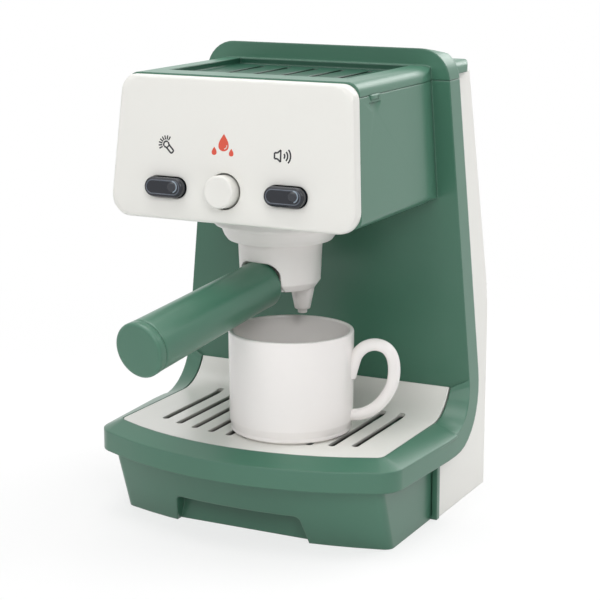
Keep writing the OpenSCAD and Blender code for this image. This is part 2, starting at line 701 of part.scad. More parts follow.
module cover_hollow() {
    w = head_half(part_z) - wall - turn_in;
    along_y(panel_lift + wall, wall_y + 3) polygon(rounded(
        [[-w, part_z - 1], [w, part_z - 1], [w, cover_top_z - wall - grille_recess],
            [-w, cover_top_z - wall - grille_recess]], [0, 0, 2, 2], 4));
    along_y(wall_y + wall, flange_y - wall) polygon(rounded(
        [[-shell_half(0) + wall, 0], [shell_half(0) - wall, 0], [shell_half(total_h) - wall, cap_roof_z],
            [-shell_half(total_h) + wall, cap_roof_z]], [0, 0, 12, 12], 8));
    lw = shell_half(lip_top_z) - wall - 2;
    translate([-lw, flange_y - wall - 1, part_z - 1])
        cube([2 * lw, lip_d + wall + 1 - 9, lip_top_z - wall - part_z + 1]);
}
grille_y0 = wall_y - 1.5 - grille_l;
module grille() {
    translate([-grille_w / 2, grille_y0, cover_top_z - grille_recess])
        cube([grille_w, grille_l, grille_recess + 1]);
    for (i = [0:grille_n - 1])
        translate([(i - (grille_n - 1) / 2) * grille_pitch - grille_slot / 2, grille_y0 + 4, part_z])
            cube([grille_slot, grille_l - 12, 20]);
}

// ---- control panel and buttons ----
panel_h = (panel_top_z - panel_bottom_z) / cos(panel_lean);
light_x = oval_shift - oval_pitch;
sound_x = oval_shift + oval_pitch;
function panel_outline(inset) = rounded(
    [[-head_half(panel_bottom_z) + inset, inset], [head_half(panel_bottom_z) - inset, inset],
        [head_half(panel_top_z) - inset + 0.3, panel_h - inset],
        [-head_half(panel_top_z) + inset - 0.3, panel_h - inset]],
    [for (i = [0:3]) (i < 2 ? panel_low_r : panel_corner_r) - inset / 2], 8);
module control_panel() {
    color(ivory) difference() {
        on_panel() hull() {
            linear_extrude(panel_t - panel_edge) polygon(panel_outline(0));
            linear_extrude(panel_t - panel_edge * 0.3) polygon(panel_outline(panel_edge * 0.3));
            linear_extrude(panel_t) polygon(panel_outline(panel_edge));
        }
        on_panel(-1) for (x = [light_x, sound_x]) translate([x, button_row])
            linear_extrude(panel_t + 2) stadium(oval_l + 2 * oval_gap, oval_h + 2 * oval_gap);
        on_panel(-1) translate([button_shift, button_row])
            cylinder(d = round_d + 2 * round_gap, h = panel_t + 2, $fn = 64);
        // way for the buttons' collars, cut into the back
        on_panel(-1) for (x = [light_x, sound_x]) translate([x, button_row])
            linear_extrude(1 + 2.5) stadium(oval_l + 4, oval_h + 4);
        on_panel(-1) translate([button_shift, button_row]) cylinder(d = round_d + 5, h = 1 + 2.5, $fn = 64);
    }
}
collar_t = 0.9;
collar_at = 2.5 - collar_t;
module oval_button(x) {
    color(smoke) on_panel() translate([x, button_row]) {
        translate([0, 0, collar_at]) linear_extrude(collar_t) stadium(oval_l + 2.6, oval_h + 2.6);
        hull() {
            translate([0, 0, collar_at]) linear_extrude(panel_t + oval_out - collar_at - 1)
                stadium(oval_l, oval_h, $fn = 32);
            translate([0, 0, collar_at]) linear_extrude(panel_t + oval_out - collar_at)
                stadium(oval_l - 2, oval_h - 2, $fn = 32);
        }
        translate([0, 0, stem_z]) cylinder(d = stem_d, h = collar_at - stem_z + 0.1, $fn = 32);
    }
}
stem_d = 4;
stem_z = -6;
module round_button() {
    color(ivory) on_panel() translate([button_shift, button_row]) {
        translate([0, 0, collar_at]) cylinder(d = round_d + 3.6, h = collar_t, $fn = 64);
        rotate_extrude($fn = 96) polygon(concat([[0, collar_at]], [[round_d / 2, collar_at]],
            [for (i = [0:4]) [round_d / 2 - 1 + cos(i * 22.5), panel_t + round_out - 1 + sin(i * 22.5)]],
            [[0, panel_t + round_out]]));
        translate([0, 0, stem_z]) cylinder(d = stem_d, h = collar_at - stem_z + 0.1, $fn = 32);
    }
}
// Spring round a button's stem: coils of square section, drawn as stacked rings
spring_r = 3.1;
spring_wire = 0.5;
module button_spring(x) {
    n = 4;
    free = collar_at - 0.05 - board_front;
    color("silver") on_panel(board_front) translate([x, button_row]) difference() {
        cylinder(r = spring_r + spring_wire / 2, h = free, $fn = 32);
        translate([0, 0, -1]) cylinder(r = spring_r - spring_wire / 2, h = free + 2, $fn = 32);
    }
}
board_front = -7.8;
board_t = 1.6;
post_x = oval_pitch + oval_l / 2 + 1.6;
// Board behind the buttons, with a key switch under each stem
module button_board() {
    color("#2f6b46") on_panel(board_front - board_t) translate([-post_x - stem_d,
        button_row - round_d / 2 - 1, 0])
        cube([2 * (post_x + stem_d), round_d + 2, board_t]);
    color("#222222") on_panel(board_front) for (x = [light_x, button_shift, sound_x])
        translate([x, button_row, 0]) cylinder(d = 3.4,
            h = stem_z - button_travel - board_front - 0.05, $fn = 24);
    // posts that hold the board to the panel's back
    color("#2f6b46") on_panel(board_front) for (x = [-post_x, post_x]) translate([x, button_row + 6, 0])
        cylinder(d = 4, h = -board_front - 0.05, $fn = 24);
}
module button_lamps() {
    color("#f5f2e0") on_panel(board_front) for (x = [light_x, sound_x]) translate([x + 6.4, button_row,
        0]) {
        cylinder(d = 3, h = 3, $fn = 24);
        translate([0, 0, 3]) sphere(d = 3, $fn = 24);
    }
}

// ---- brewing group ----
flange_low_z = collar_bottom_z + 7.5;
ring_top_z = collar_bottom_z + 5;
module group_collar() {
    color(ivory) at_group() rotate_extrude($fn = 128) polygon([
        [spigot_r + seat, head_bottom_z - 3], [flange_r, head_bottom_z - 3],
        [flange_r, flange_low_z + 1], [flange_r - 1, flange_low_z], [ring_r + 0.2, ring_top_z + 0.6],
        [ring_r, ring_top_z], [ring_r - 1.3, collar_bottom_z + 2], [ring_r - 2.8, collar_bottom_z],
        [bowl_r - 4, collar_bottom_z], [bowl_r - 4, collar_bottom_z + 9.5],
        [spigot_r + seat, collar_bottom_z + 9.5]]);
    color(ivory) at_group() translate([0, 0, head_bottom_z - 3 - eps]) difference() {
        cylinder(r = flange_r, h = 3 - seat, $fn = 128);
        translate([0, 0, -1]) cylinder(r = collar_neck_r - wall, h = 5, $fn = 96);
    }
    color(ivory) at_group() translate([0, 0, head_bottom_z - 1]) difference() {
        cylinder(r = collar_neck_r, h = wall + 2, $fn = 96);
        translate([0, 0, -1]) cylinder(r = collar_neck_r - wall, h = wall + 5, $fn = 96);
    }
}
spigot_top_z = head_bottom_z + 7;
spigot_low_z = bowl_bottom_z + 9;
// Fixed hollow pin: it carries the bowl and leads water down to it
module group_spigot() {
    color("#d9d6cf") at_group() rotate_extrude($fn = 64) polygon([
        [2, spigot_low_z - 3], [spigot_r + 2.4, spigot_low_z - 3], [spigot_r + 2.4, spigot_low_z - 0.3],
        [spigot_r, spigot_low_z - 0.3], [spigot_r, head_bottom_z - 3 + 0.05], [spigot_r + 3,
            head_bottom_z - 3 + 0.05],
        [spigot_r + 3, head_bottom_z - 1], [3, head_bottom_z - 1], [3, spigot_top_z], [2, spigot_top_z]]);
}
hub_top_z = collar_bottom_z + 9;
bowl_wall = 2.2;
module bowl_body() {
    rotate_extrude($fn = 128) polygon([
        [bowl_r - 4.5, bowl_bottom_z], [bowl_r - 3.4, bowl_bottom_z], [bowl_r - 0.9, bowl_bottom_z + 3.4],
        [bowl_r, collar_bottom_z - 0.3], [bowl_r - 4.4, collar_bottom_z - 0.3],
        [bowl_r - 4.4, hub_top_z], [spigot_r + spigot_clear, hub_top_z],
        [spigot_r + spigot_clear, spigot_low_z], [spigot_r + 4, spigot_low_z],
        [spigot_r + 4, hub_top_z - 2.4], [bowl_r - 6.6, hub_top_z - 2.4],
        [bowl_r - 6.6, collar_bottom_z - 2.7], [bowl_r - bowl_wall, collar_bottom_z - 2.7],
        [bowl_r - bowl_wall - 0.9, bowl_bottom_z + 4], [bowl_r - 4.5, bowl_bottom_z + 2]]);
}
module portafilter_bowl() {
    color(ivory) at_group(-handle_turn) difference() {
        union() {
            difference() {
                bowl_body();
                arch();
            }
            // lug that the handle's end seats on
            translate([0, 0, handle_z]) rotate([90 + handle_drop, 0, 0]) translate([-6, -6, 8.6])
                cube([12, 12, handle_n0 - 8.6]);
            // floor under the rear half, which carries the spout
            intersection() {
                translate([0, 0, bowl_bottom_z]) cylinder(r = bowl_r - 4, h = 2.2, $fn = 96);
                rotate([0, 0, handle_turn]) rotate([0, 0, spout_turn]) translate([-1, -bowl_r, 0])
                    cube([2 * bowl_r, 2 * bowl_r, total_h]);
            }
        }
        translate([0, 0, bowl_bottom_z - 5]) cylinder(r = spigot_r + 2.9,
            h = spigot_low_z - bowl_bottom_z + 4.7, $fn = 64);
        rotate([0, 0, handle_turn + spout_turn]) translate([spout_reach, 0, bowl_bottom_z - 1])
            cylinder(r = 3, h = 5, $fn = 32);
    }
}
// Arched way in the bowl's wall, which the handle enters
handle_n0 = 15.5;
arch_z = bowl_bottom_z + 2.6;
arch_half = handle_neck_r + 0.7;
module arch() {
    along_y(-bowl_r - 5, 3 - handle_n0) polygon(rounded(
        [[-arch_half, bowl_bottom_z - 5], [arch_half, bowl_bottom_z - 5],
            [arch_half, arch_z + handle_neck_r + 0.6], [-arch_half, arch_z + handle_neck_r + 0.6]],
        [0, 0, 7, 7], 8));
}
spout_low_z = bowl_bottom_z - 11.2;
spout_tip_z = bowl_bottom_z - 14.1;
module spout() {
    color(ivory) at_group() rotate([0, 0, spout_turn]) translate([spout_reach, 0, 0])
        rotate_extrude($fn = 64) polygon([[1.2, spout_tip_z], [2.3, spout_tip_z], [2.4, spout_low_z - 0.8],
            [3.4, spout_low_z - 0.8], [4.0, spout_low_z], [spout_r, bowl_bottom_z - 0.02], [2.95,
                bowl_bottom_z - 0.02],
            [2.95, bowl_bottom_z + 3], [1.2, bowl_bottom_z + 3]]);
}
// The handle's frame: its axis starts on the group's axis and runs out and down
handle_z = arch_z + 20 * tan(handle_drop);
module on_handle() {
    at_group(-handle_turn) translate([0, 0, handle_z]) rotate([90 + handle_drop, 0, 0]) children();
}
handle_len = handle_l / cos(handle_drop);
cap_l = 5;
module portafilter_handle() {
    n0 = handle_n0;
    color(green) on_handle() rotate_extrude($fn = 96) polygon([
        [0, n0], [handle_neck_r - 1.2, n0], [handle_neck_r - 0.2, n0 + 1],
        [handle_end_r - 0.35, handle_len - cap_l - 0.8],
        [handle_end_r - 0.9, handle_len - cap_l - 0.05], [0, handle_len - cap_l - 0.05]]);
}
module handle_cap() {
    r = handle_end_r;
    color(green) on_handle() rotate_extrude($fn = 96) polygon(concat(
        [[0, handle_len - cap_l]], [[r - 0.8, handle_len - cap_l], [r - 0.2, handle_len - cap_l + 0.8]],
        [for (i = [0:5]) [r - 1.6 + 1.6 * cos(18 * i), handle_len - 1.6 + 1.6 * sin(18 * i)]],
        [[0, handle_len]]));
}

// ---- drip grate, drawer and mug ----
grate_front_y = rim_front_y + grate_margin;
slot_back_y = wall_y - 16;
module drip_grate() {
    color(ivory) difference() {
        intersection() {
            along_x(grate_w) polygon(grate_side(rim_front_y, 0, grate_t));
            slab(grate_plan(0, wall_y + 1), deck_z - 20, deck_z + 30);
        }
        for (i = [0:slot_n - 1]) let (x = (i - (slot_n - 1) / 2) * slot_pitch,
            y0 = grate_front_y + 16 + 130 - sqrt(130 * 130 - x * x))
            translate([x, 0, deck_z - grate_t - 1]) linear_extrude(grate_t + 2) {
                translate([-slot_w / 2, y0 + slot_w / 2]) square([slot_w, slot_back_y - y0 - slot_w]);
                for (y = [y0 + slot_w / 2, slot_back_y - slot_w / 2]) translate([0, y])
                    circle(d = slot_w, $fn = 24);
            }
    }
}
drawer_rise = drawer_top_z * tan(drawer_slope);
drawer_back_y = 24;
function drawer_plan(shift, inset) = bowed(drawer_w / 2 - inset, drawer_foot_y - shift + inset,
    drawer_bow_r - inset, 5 - min(inset, 2.4), drawer_back_y - inset);
module drawer_block(inset, z0, z1) {
    s = tan(drawer_slope);
    hull() {
        slab(drawer_plan(z0 * s, inset), z0, z0 + 0.2);
        slab(drawer_plan((z1 - 0.2) * s, inset), z1 - 0.2, z1);
    }
}
notch_back_y = drawer_foot_y + notch_d;
// Height of the step under the drawer that clears the sill
step_z = sill_h + 0.3;
module water_drawer() {
    color(green) difference() {
        drawer_block(0, 0, drawer_top_z);
        difference() {
            drawer_block(wall, wall, drawer_top_z + 5);
            along_x(2 * drawer_w) polygon([[-total_h, -1], [notch_back_y + wall, -1],
                [notch_back_y + wall, notch_h + wall], [-total_h, notch_h + wall]]);
            // raised floor over the step
            translate([-drawer_w, rib_y - 0.4 - wall, -1]) cube([2 * drawer_w, 60, step_z + wall + 1]);
        }
        finger_notch();
        // step that rides over the sill and the base plate
        translate([-drawer_w, rib_y - 0.4, -1]) cube([2 * drawer_w, 60, step_z + 1]);
        // mouth at the back for the suction tube
        translate([tube_x, drawer_back_y - wall - 2, inlet_z]) rotate([-90, 0, 0])
            cylinder(d = tube_d + 1.2, h = wall + 4, $fn = 32);
    }
}
module finger_notch() {
    translate([notch_shift, 0, 0]) along_y(drawer_foot_y - 30, notch_back_y) polygon(rounded(
        [[-notch_w / 2, -1], [notch_w / 2, -1], [notch_w / 2 - 3.3, notch_h], [-notch_w / 2 + 3.3,
            notch_h]],
        [0, 0, 3, 3], 5));
}
mug_z = deck_z + 0.02;
mug_h = spout_tip_z - spout_gap - mug_z;
mug_foot = 28;
// Bend points of the mug's handle: out from its axis, and up as shares of the mug's height
function mug_path() = [for (p = [[mug_r - 0.6, 0.55], [mug_r + 0.4, 0.665], [33, 0.77], [37, 0.845],
    [42.4, 0.873], [47.6, 0.842], [mug_grip_reach - 1, 0.76], [mug_grip_reach, 0.63], [50.4, 0.485],
    [46.8, 0.353], [41.6, 0.247], [35.6, 0.185], [mug_r - 1.6, 0.165]]) [p[0], p[1] * mug_h]];
module mug_grip() {
    sweep([for (p = smooth(mug_path(), 3)) [p[0], 0, p[1]]], mug_grip_d / 2, 12);
}
module mug() {
    color(ivory) translate([mug_x, wall_y - mug_reach, mug_z]) difference() {
        union() {
            rotate_extrude($fn = 128) polygon([[0, 1], [mug_foot - 2, 1], [mug_foot - 1.6, 0],
                [mug_foot, 0], [mug_foot + 1.2, 0.7], [mug_r - 0.9, 2.1], [mug_r - 0.5, 4.2],
                [mug_r - 0.3, 7.5], [mug_r, mug_h - 1], [mug_r - 0.6, mug_h], [0, mug_h]]);
            rotate([0, 0, mug_turn]) mug_grip();
        }
        rotate_extrude($fn = 128) polygon([[0, 3.4], [mug_r - 7, 3.4], [mug_r - 4, 5],
            [mug_r - mug_wall - 0.5, 9],
            [mug_r - mug_wall, mug_h - 1], [mug_r - mug_wall + 0.5, mug_h + 0.01], [0, mug_h + 0.01]]);
    }
}

// ---- works ----
module battery_door() {
    color(ivory) {
        translate([-door_w / 2, rear_y - door_t, door_z]) cube([door_w, door_t, door_h]);
        translate([-8, rear_y - door_t - 3, door_z + door_h - 8]) cube([16, 3.2, 3]);
    }
}
cells_y = rear_y - wall - box_d + 2 + cell_d / 2 + 0.2;
module batteries() {
    color("#6d6f72") for (i = [-1:1]) translate([i * cell_pitch, cells_y,
        door_z + 3 + (door_h - 6 - cell_l) / 2]) {
        cylinder(d = cell_d, h = cell_l - 1.4, $fn = 48);
        cylinder(d = 5.4, h = cell_l, $fn = 32);
    }
}
module battery_contacts() {
    gap = (door_h - 6 - cell_l) / 2;
    color("silver") for (i = [-1:1]) translate([i * cell_pitch, cells_y, door_z + 3]) {
        translate([0, 0, 0.05]) cylinder(r1 = 4.6, r2 = 2.6, h = gap - 0.1, $fn = 32);
        translate([-4.5, -4.5, cell_l + gap + 0.05]) cube([9, 9, gap - 0.1]);
    }
}
inlet_z = 10;
pump_y = 42;
pump_x = -48;
tube_x = -26;
pump_h = 14;
// Pump at the foot of the housing, with the motor upright on it
module pump_head() {
    color("#30343a") difference() {
        union() {
            translate([pump_x, pump_y, sill_h]) cylinder(d = motor_d + 4, h = pump_h, $fn = 48);
            translate([pump_x, pump_y - 7, sill_h]) cube([tube_x + 6 - pump_x, 14, pump_h]);
        }
        translate([tube_x, pump_y, sill_h + 4]) cylinder(r = tube_d / 2 - 1, h = 20, $fn = 32);
        translate([tube_x, pump_y + 1, inlet_z]) rotate([90, 0, 0]) cylinder(r = tube_d / 2 - 1,
            h = 20, $fn = 32);
    }
}
module pump_motor() {
    color("#9a9c9e") translate([pump_x, pump_y, sill_h + pump_h]) {
        cylinder(d = motor_d, h = motor_l, $fn = 48);
        translate([0, 0, motor_l - eps]) cylinder(d = 7, h = 2, $fn = 32);
    }
}
// Fixed pipe that plugs into the drawer's back
module suction_tube() {
    color("#dfe6e8") translate([tube_x, pump_y - 7, inlet_z]) rotate([90, 0, 0]) difference() {
        cylinder(d = tube_d, h = pump_y - 7 - drawer_back_y + 6, $fn = 48);
        translate([0, 0, -1]) cylinder(d = tube_d - 2, h = 60, $fn = 48);
    }
}
// Riser from the pump, bent over to the top of the group's spigot
bend_r = 12;
module pipe_bend() {
    rotate([90, 0, 0]) rotate_extrude(angle = 90, $fn = 64) translate([bend_r, 0]) difference() {
        circle(d = tube_d, $fn = 32);
        circle(d = tube_d - 2, $fn = 32);
    }
}
module pipe(l) {
    difference() {
        cylinder(d = tube_d, h = l, $fn = 32);
        translate([0, 0, -1]) cylinder(d = tube_d - 2, h = l + 2, $fn = 32);
    }
}
module water_tube() {
    run = norm([tube_x, pump_y - group_y]);
    turn = atan2(group_y - pump_y, -tube_x);
    low = sill_h + pump_h;
    high = head_bottom_z + 30;
    color("#dfe6e8") translate([tube_x, pump_y, 0]) rotate([0, 0, turn]) {
        translate([0, 0, low]) pipe(high - bend_r - low);
        translate([bend_r, 0, high - bend_r]) rotate([0, -90, 0]) pipe_bend();
        translate([bend_r, 0, high]) rotate([0, 90, 0]) pipe(run - 2 * bend_r);
        translate([run - bend_r, 0, high - bend_r]) pipe_bend();
        translate([run, 0, spigot_top_z]) pipe(high - bend_r - spigot_top_z);
    }
}
board_x = 6;
board_y = 35.4;
board_z = part_z - 126;
board_w = 46;
board_h = 60;
module main_board() {
    color("#2f6b46") {
        translate([board_x, board_y, board_z]) cube([board_w, 1.6, board_h]);
        translate([board_x + 14, board_y + 1.5, board_z + 20]) cube([14, 1.6, 14]);
        translate([board_x + 32, board_y + 1.5, board_z + 44]) rotate([-90, 0, 0])
            cylinder(d = 8, h = 11, $fn = 32);
    }
}
module speaker() {
    color("#2a2a2c") on_back(speaker_z, wall) {
        cylinder(d = speaker_d, h = 4, $fn = 64);
        translate([0, 0, 4 - eps]) cylinder(d = 18, h = 5, $fn = 48);
    }
}
module case_screws() {
    color("#8a8c90") for (b = boss_at) translate([b[0], head_seat_y, b[1]]) rotate([90, 0, 0]) {
        translate([0, 0, -2.4]) cylinder(d = screw_head_d, h = 2.4, $fn = 32);
        cylinder(r = screw_r, h = 14, $fn = 24);
    }
}

front_shell();
rear_housing();
base_plate();
top_cover();
lid_hinge_pins();
control_panel();
oval_button(light_x);  // light_button
oval_button(sound_x);  // sound_button
round_button();  // power_button
button_spring(light_x);  // light_spring
button_spring(sound_x);  // sound_spring
button_spring(button_shift);  // power_spring
button_board();
button_lamps();
group_collar();
group_spigot();
portafilter_bowl();
spout();
portafilter_handle();
handle_cap();
drip_grate();
water_drawer();
mug();
battery_door();
batteries();
battery_contacts();
pump_motor();
pump_head();
suction_tube();
water_tube();
main_board();
speaker();
case_screws();
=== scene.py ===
# %% [markdown]
# # A toy espresso machine in moulded plastic
#
# The machine is a child's play coffee maker: a sage green body with an ivory
# panel, a swinging portafilter, a drip tray, a pull-out water drawer and a mug.
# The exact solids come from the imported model. This script dresses them: it
# softens the moulded shells, replaces the turned and bent pieces by surfaces
# that are worked out with numpy, gives every piece its material, and sets up a
# plain product studio.

# %% Load the frame
import math

import bmesh
import bpy
import numpy as np
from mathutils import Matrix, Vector


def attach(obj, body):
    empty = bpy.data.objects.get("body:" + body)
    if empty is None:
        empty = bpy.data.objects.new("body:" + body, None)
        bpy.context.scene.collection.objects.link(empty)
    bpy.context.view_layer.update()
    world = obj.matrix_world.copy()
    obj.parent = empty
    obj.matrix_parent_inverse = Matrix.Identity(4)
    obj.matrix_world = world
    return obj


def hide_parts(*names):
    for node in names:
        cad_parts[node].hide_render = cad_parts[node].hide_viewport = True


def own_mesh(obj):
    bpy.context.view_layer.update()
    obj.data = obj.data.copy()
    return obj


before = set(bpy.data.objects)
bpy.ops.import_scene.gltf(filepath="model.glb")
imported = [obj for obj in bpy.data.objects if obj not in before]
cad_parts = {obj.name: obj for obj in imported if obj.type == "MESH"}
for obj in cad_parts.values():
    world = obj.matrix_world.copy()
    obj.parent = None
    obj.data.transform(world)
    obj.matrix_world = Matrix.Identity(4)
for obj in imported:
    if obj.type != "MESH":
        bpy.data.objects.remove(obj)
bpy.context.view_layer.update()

# %% [markdown]
# ## Units and places
#
# Blender works in metres here, while the parts are thought of in millimetres.
# One factor turns one into the other. The few sizes below are the same named
# values as in the part's source, so that a dressed piece lands on its solid.

# %% Sizes shared with the solids
MM = 0.001
WALL_Y = 25.0                         # front face of the upright frame
PARTING_Z = 218.0                     # height where the cover lies on the body
COVER_Z = 225.0                       # top of the cover over the head
HEAD_HALF = 61.4                      # half width of the head at the parting line
GROUP = np.array([0.0, -24.8, 0.0])   # axis of the brewing group
PANEL_LEAN = math.radians(5.4)        # backward lean of the control panel
PANEL_H = 61.7                        # height of the panel
PANEL_FOOT = np.array([0.0, WALL_Y - 90.9 - PANEL_H * math.tan(PANEL_LEAN), 156.3])
PANEL_T = 6.0                         # thickness of the panel
BUTTON_ROW = 15.5                     # height of the buttons up the panel
LIGHT_X, POWER_X, SOUND_X = -34.0, -3.0, 30.0
PLATE_Z = 48.3                        # top of the drip plate
MUG = np.array([11.9, -36.3, 48.42])  # middle of the mug's foot
print("panel foot:", PANEL_FOOT.round(2))

# %% [markdown]
# ## From arrays to a mesh
#
# A surface with two parameters is a grid of points: u runs along the rows and v
# along the columns. Each small cell of the grid becomes one four-sided face. The
# faces are indexed with whole arrays, never point by point. Rows or columns that
# close on themselves are joined by wrapping the index round, and points that
# fall together, as at a pole, are welded afterwards.

# %% Grid to mesh
def link(mesh, name):
    """Puts a mesh in the scene as an object at the origin, unturned and unscaled."""
    piece = bpy.data.objects.new(name, mesh)
    bpy.context.scene.collection.objects.link(piece)
    return piece


def surface(name, points, close_u=False, close_v=True):
    """Grid of points (u, v, 3), in mm, as a smooth mesh: cell (i, j) is the face
    between rows i, i+1 and columns j, j+1, and equal points are welded."""
    rows, cols = points.shape[:2]
    index = np.arange(rows * cols).reshape(rows, cols)
    if close_u:
        index = np.vstack([index, index[:1]])
    if close_v:
        index = np.hstack([index, index[:, :1]])
    quads = np.stack([index[:-1, :-1], index[:-1, 1:], index[1:, 1:], index[1:, :-1]], axis=-1)
    mesh = bpy.data.meshes.new(name)
    mesh.from_pydata((points.reshape(-1, 3) * MM).tolist(), [], quads.reshape(-1, 4).tolist())
    weld(mesh)
    return link(mesh, name)


def weld(mesh):
    """Joins points that fall together, turns all faces outwards and shades them smooth."""
    bm = bmesh.new()
    bm.from_mesh(mesh)
    bmesh.ops.remove_doubles(bm, verts=bm.verts, dist=1e-6)
    bmesh.ops.recalc_face_normals(bm, faces=bm.faces)
    bm.to_mesh(mesh)
    bm.free()
    mesh.polygons.foreach_set("use_smooth", np.ones(len(mesh.polygons), dtype=bool))


def unit(v):
    """Each vector divided by its own length."""
    return v / np.linalg.norm(v, axis=-1, keepdims=True)


print("grid helpers ready")

# %% [markdown]
# ## Profiles with rounded corners
#
# Nothing that leaves a mould has a sharp corner. A profile is written as a few
# corners with a radius each, and every corner is swapped for a small curve. The
# curve is a parabola that starts and ends on the two sides of the corner, at the
# distance where an arc of that radius would touch them. It needs no trigonometry
# for its points, and it is hard to tell from an arc at this size.

# %% Rounded profile
def rounded(corners, radii, steps=5, closed=True):
    """Corner b between a and c becomes (1-t)^2 p + 2 t (1-t) b + t^2 q, where p and q
    lie r / tan(half the angle) from b, for t from 0 to 1."""
    b = np.asarray(corners, float)
    a, c = np.roll(b, 1, axis=0), np.roll(b, -1, axis=0)
    to_a, to_c = unit(a - b), unit(c - b)
    half = np.arccos(np.clip((to_a * to_c).sum(-1), -1, 1)) / 2
    reach = np.asarray(radii, float) / np.tan(half)
    if not closed:
        reach[[0, -1]] = 0
    p, q = b + to_a * reach[:, None], b + to_c * reach[:, None]
    t = np.linspace(0, 1, steps + 1)[None, :, None]
    curve = (1 - t) ** 2 * p[:, None] + 2 * t * (1 - t) * b[:, None] + t ** 2 * q[:, None]
    return curve.reshape(-1, b.shape[1])


def turned(profile, sides=96):
    """Surface of revolution about Z: (r, z) turns into (r cos a, r sin a, z)."""
    a = np.linspace(0, 2 * np.pi, sides, endpoint=False)
    r, z = profile[:, :1], profile[:, 1:]
    return np.stack([r * np.cos(a), r * np.sin(a), z + 0 * a], axis=-1)


def placed(points, origin, across, up, out):
    """Local (x, y, z) becomes origin + x across + y up + z out."""
    return np.asarray(origin) + points @ np.array([across, up, out])


print("corner test:", rounded([[0, 0], [4, 0], [4, 4]], [1, 1, 1], 2).round(2)[3:6].tolist())

# %% [markdown]
# ## A profile carried along a path
#
# Bent rods, springs and printed lines are all one idea: a small outline that
# travels along a curve. At each point of the path a frame of two directions is
# needed, across the path. Here one of them leans on a fixed helper direction,
# which is simple and never twists as long as the path doesn't run along it.

# %% Sweep along a path
def swept(path, outline, helper):
    """Point (i, j) = path_i + x_j n_i + y_j b_i, where n = helper x tangent, b = tangent x n."""
    tangent = unit(np.gradient(path, axis=0))
    n = unit(np.cross(helper, tangent))
    b = np.cross(tangent, n)
    x, y = outline[None, :, :1], outline[None, :, 1:]
    return path[:, None] + x * n[:, None] + y * b[:, None]


def capped(grid):
    """Adds a row at each end where every point falls on the row's middle, which closes the end."""
    ends = [np.broadcast_to(row.mean(axis=0), row.shape)[None] for row in (grid[0], grid[-1])]
    return np.concatenate([ends[0], grid, ends[1]])


def ring(radius, sides=16):
    """Circle of that radius as (x, y) points."""
    a = np.linspace(0, 2 * np.pi, sides, endpoint=False)
    return radius * np.stack([np.cos(a), np.sin(a)], axis=-1)


def spline(knots, steps=8):
    """Catmull-Rom curve through the knots: on each span the cubic whose slope at a knot
    is half the chord between its two neighbours."""
    k = np.asarray(knots, float)
    k = np.vstack([2 * k[0] - k[1], k, 2 * k[-1] - k[-2]])
    p0, p1, p2, p3 = (k[i:len(k) - 3 + i, None] for i in range(4))
    t = np.linspace(0, 1, steps, endpoint=False)[None, :, None]
    curve = 0.5 * (2 * p1 + (p2 - p0) * t + (2 * p0 - 5 * p1 + 4 * p2 - p3) * t ** 2
                   + (3 * p1 - p0 - 3 * p2 + p3) * t ** 3)
    return np.vstack([curve.reshape(-1, k.shape[1]), k[-2]])


print("sweep helpers ready")

# %% [markdown]
# ## Colours and material nodes
#
# A designer gives colours as hex codes, which are sRGB. Shaders count light, so
# they need linear values, and one function converts them. A second small
# function adds a node, sets what it is given and links what is a socket.

# %% Colour and node helpers
def linear(code):
    """sRGB hex to linear: c / 12.92 below 0.04045, otherwise ((c + 0.055) / 1.055) ^ 2.4."""
    c = np.array([int(code[i:i + 2], 16) for i in (1, 3, 5)]) / 255
    return (*np.where(c <= 0.04045, c / 12.92, ((c + 0.055) / 1.055) ** 2.4), 1.0)


def add(tree, kind, inputs=None, **settings):
    """Adds a node, sets its properties, and sets or links its inputs."""
    made = tree.nodes.new(kind)
    for name, value in settings.items():
        setattr(made, name, value)
    for name, value in (inputs or {}).items():
        if isinstance(value, bpy.types.NodeSocket):
            tree.links.new(value, made.inputs[name])
        else:
            made.inputs[name].default_value = value
    return made


print("white is", linear("#ffffff"))

# %% [markdown]
# ## Moulded plastics
#
# ABS is the usual plastic of toys. The mould is spark-eroded, which leaves a very
# fine pebble on the part and breaks its reflections into a satin sheen. The
# pebble is about 0.1 mm in life; here it is drawn at about 0.6 mm, so that it
# still counts in the picture, and is kept very shallow. A second, much larger
# noise makes the sheen slightly uneven, as thick and thin walls cool differently.

# %% Moulded plastic
def moulded(name, code, roughness, grain=0.6, depth=0.012, uneven=0.05, edge=0.0, **sockets):
    """Plastic with a fine pebble: noise of the grain's size in mm bumps the surface by depth mm.
    Light runs round its corners as if they had a radius of edge mm."""
    material = bpy.data.materials.new(name)
    material.use_nodes = True
    tree = material.node_tree
    shader = tree.nodes["Principled BSDF"]
    shader.inputs["Base Color"].default_value = linear(code)
    for socket, value in sockets.items():
        shader.inputs[socket.replace("_", " ")].default_value = value
    place = add(tree, "ShaderNodeTexCoord").outputs["Object"]
    pebble = add(tree, "ShaderNodeTexNoise", {"Vector": place, "Scale": 1 / (grain * MM), "Detail": 2.0})
    bump = add(tree, "ShaderNodeBump", {"Height": pebble.outputs["Fac"], "Strength": 1.0,
                                        "Distance": depth * MM})
    if edge:
        corner = add(tree, "ShaderNodeBevel", {"Radius": edge * MM}, samples=6)
        tree.links.new(corner.outputs["Normal"], bump.inputs["Normal"])
    tree.links.new(bump.outputs["Normal"], shader.inputs["Normal"])
    cloud = add(tree, "ShaderNodeTexNoise", {"Vector": place, "Scale": 1 / (40 * MM), "Detail": 3.0})
    spread = add(tree, "ShaderNodeMapRange", {"Value": cloud.outputs["Fac"],
                                              "To Min": roughness - uneven, "To Max": roughness + uneven})
    tree.links.new(spread.outputs["Result"], shader.inputs["Roughness"])
    return material


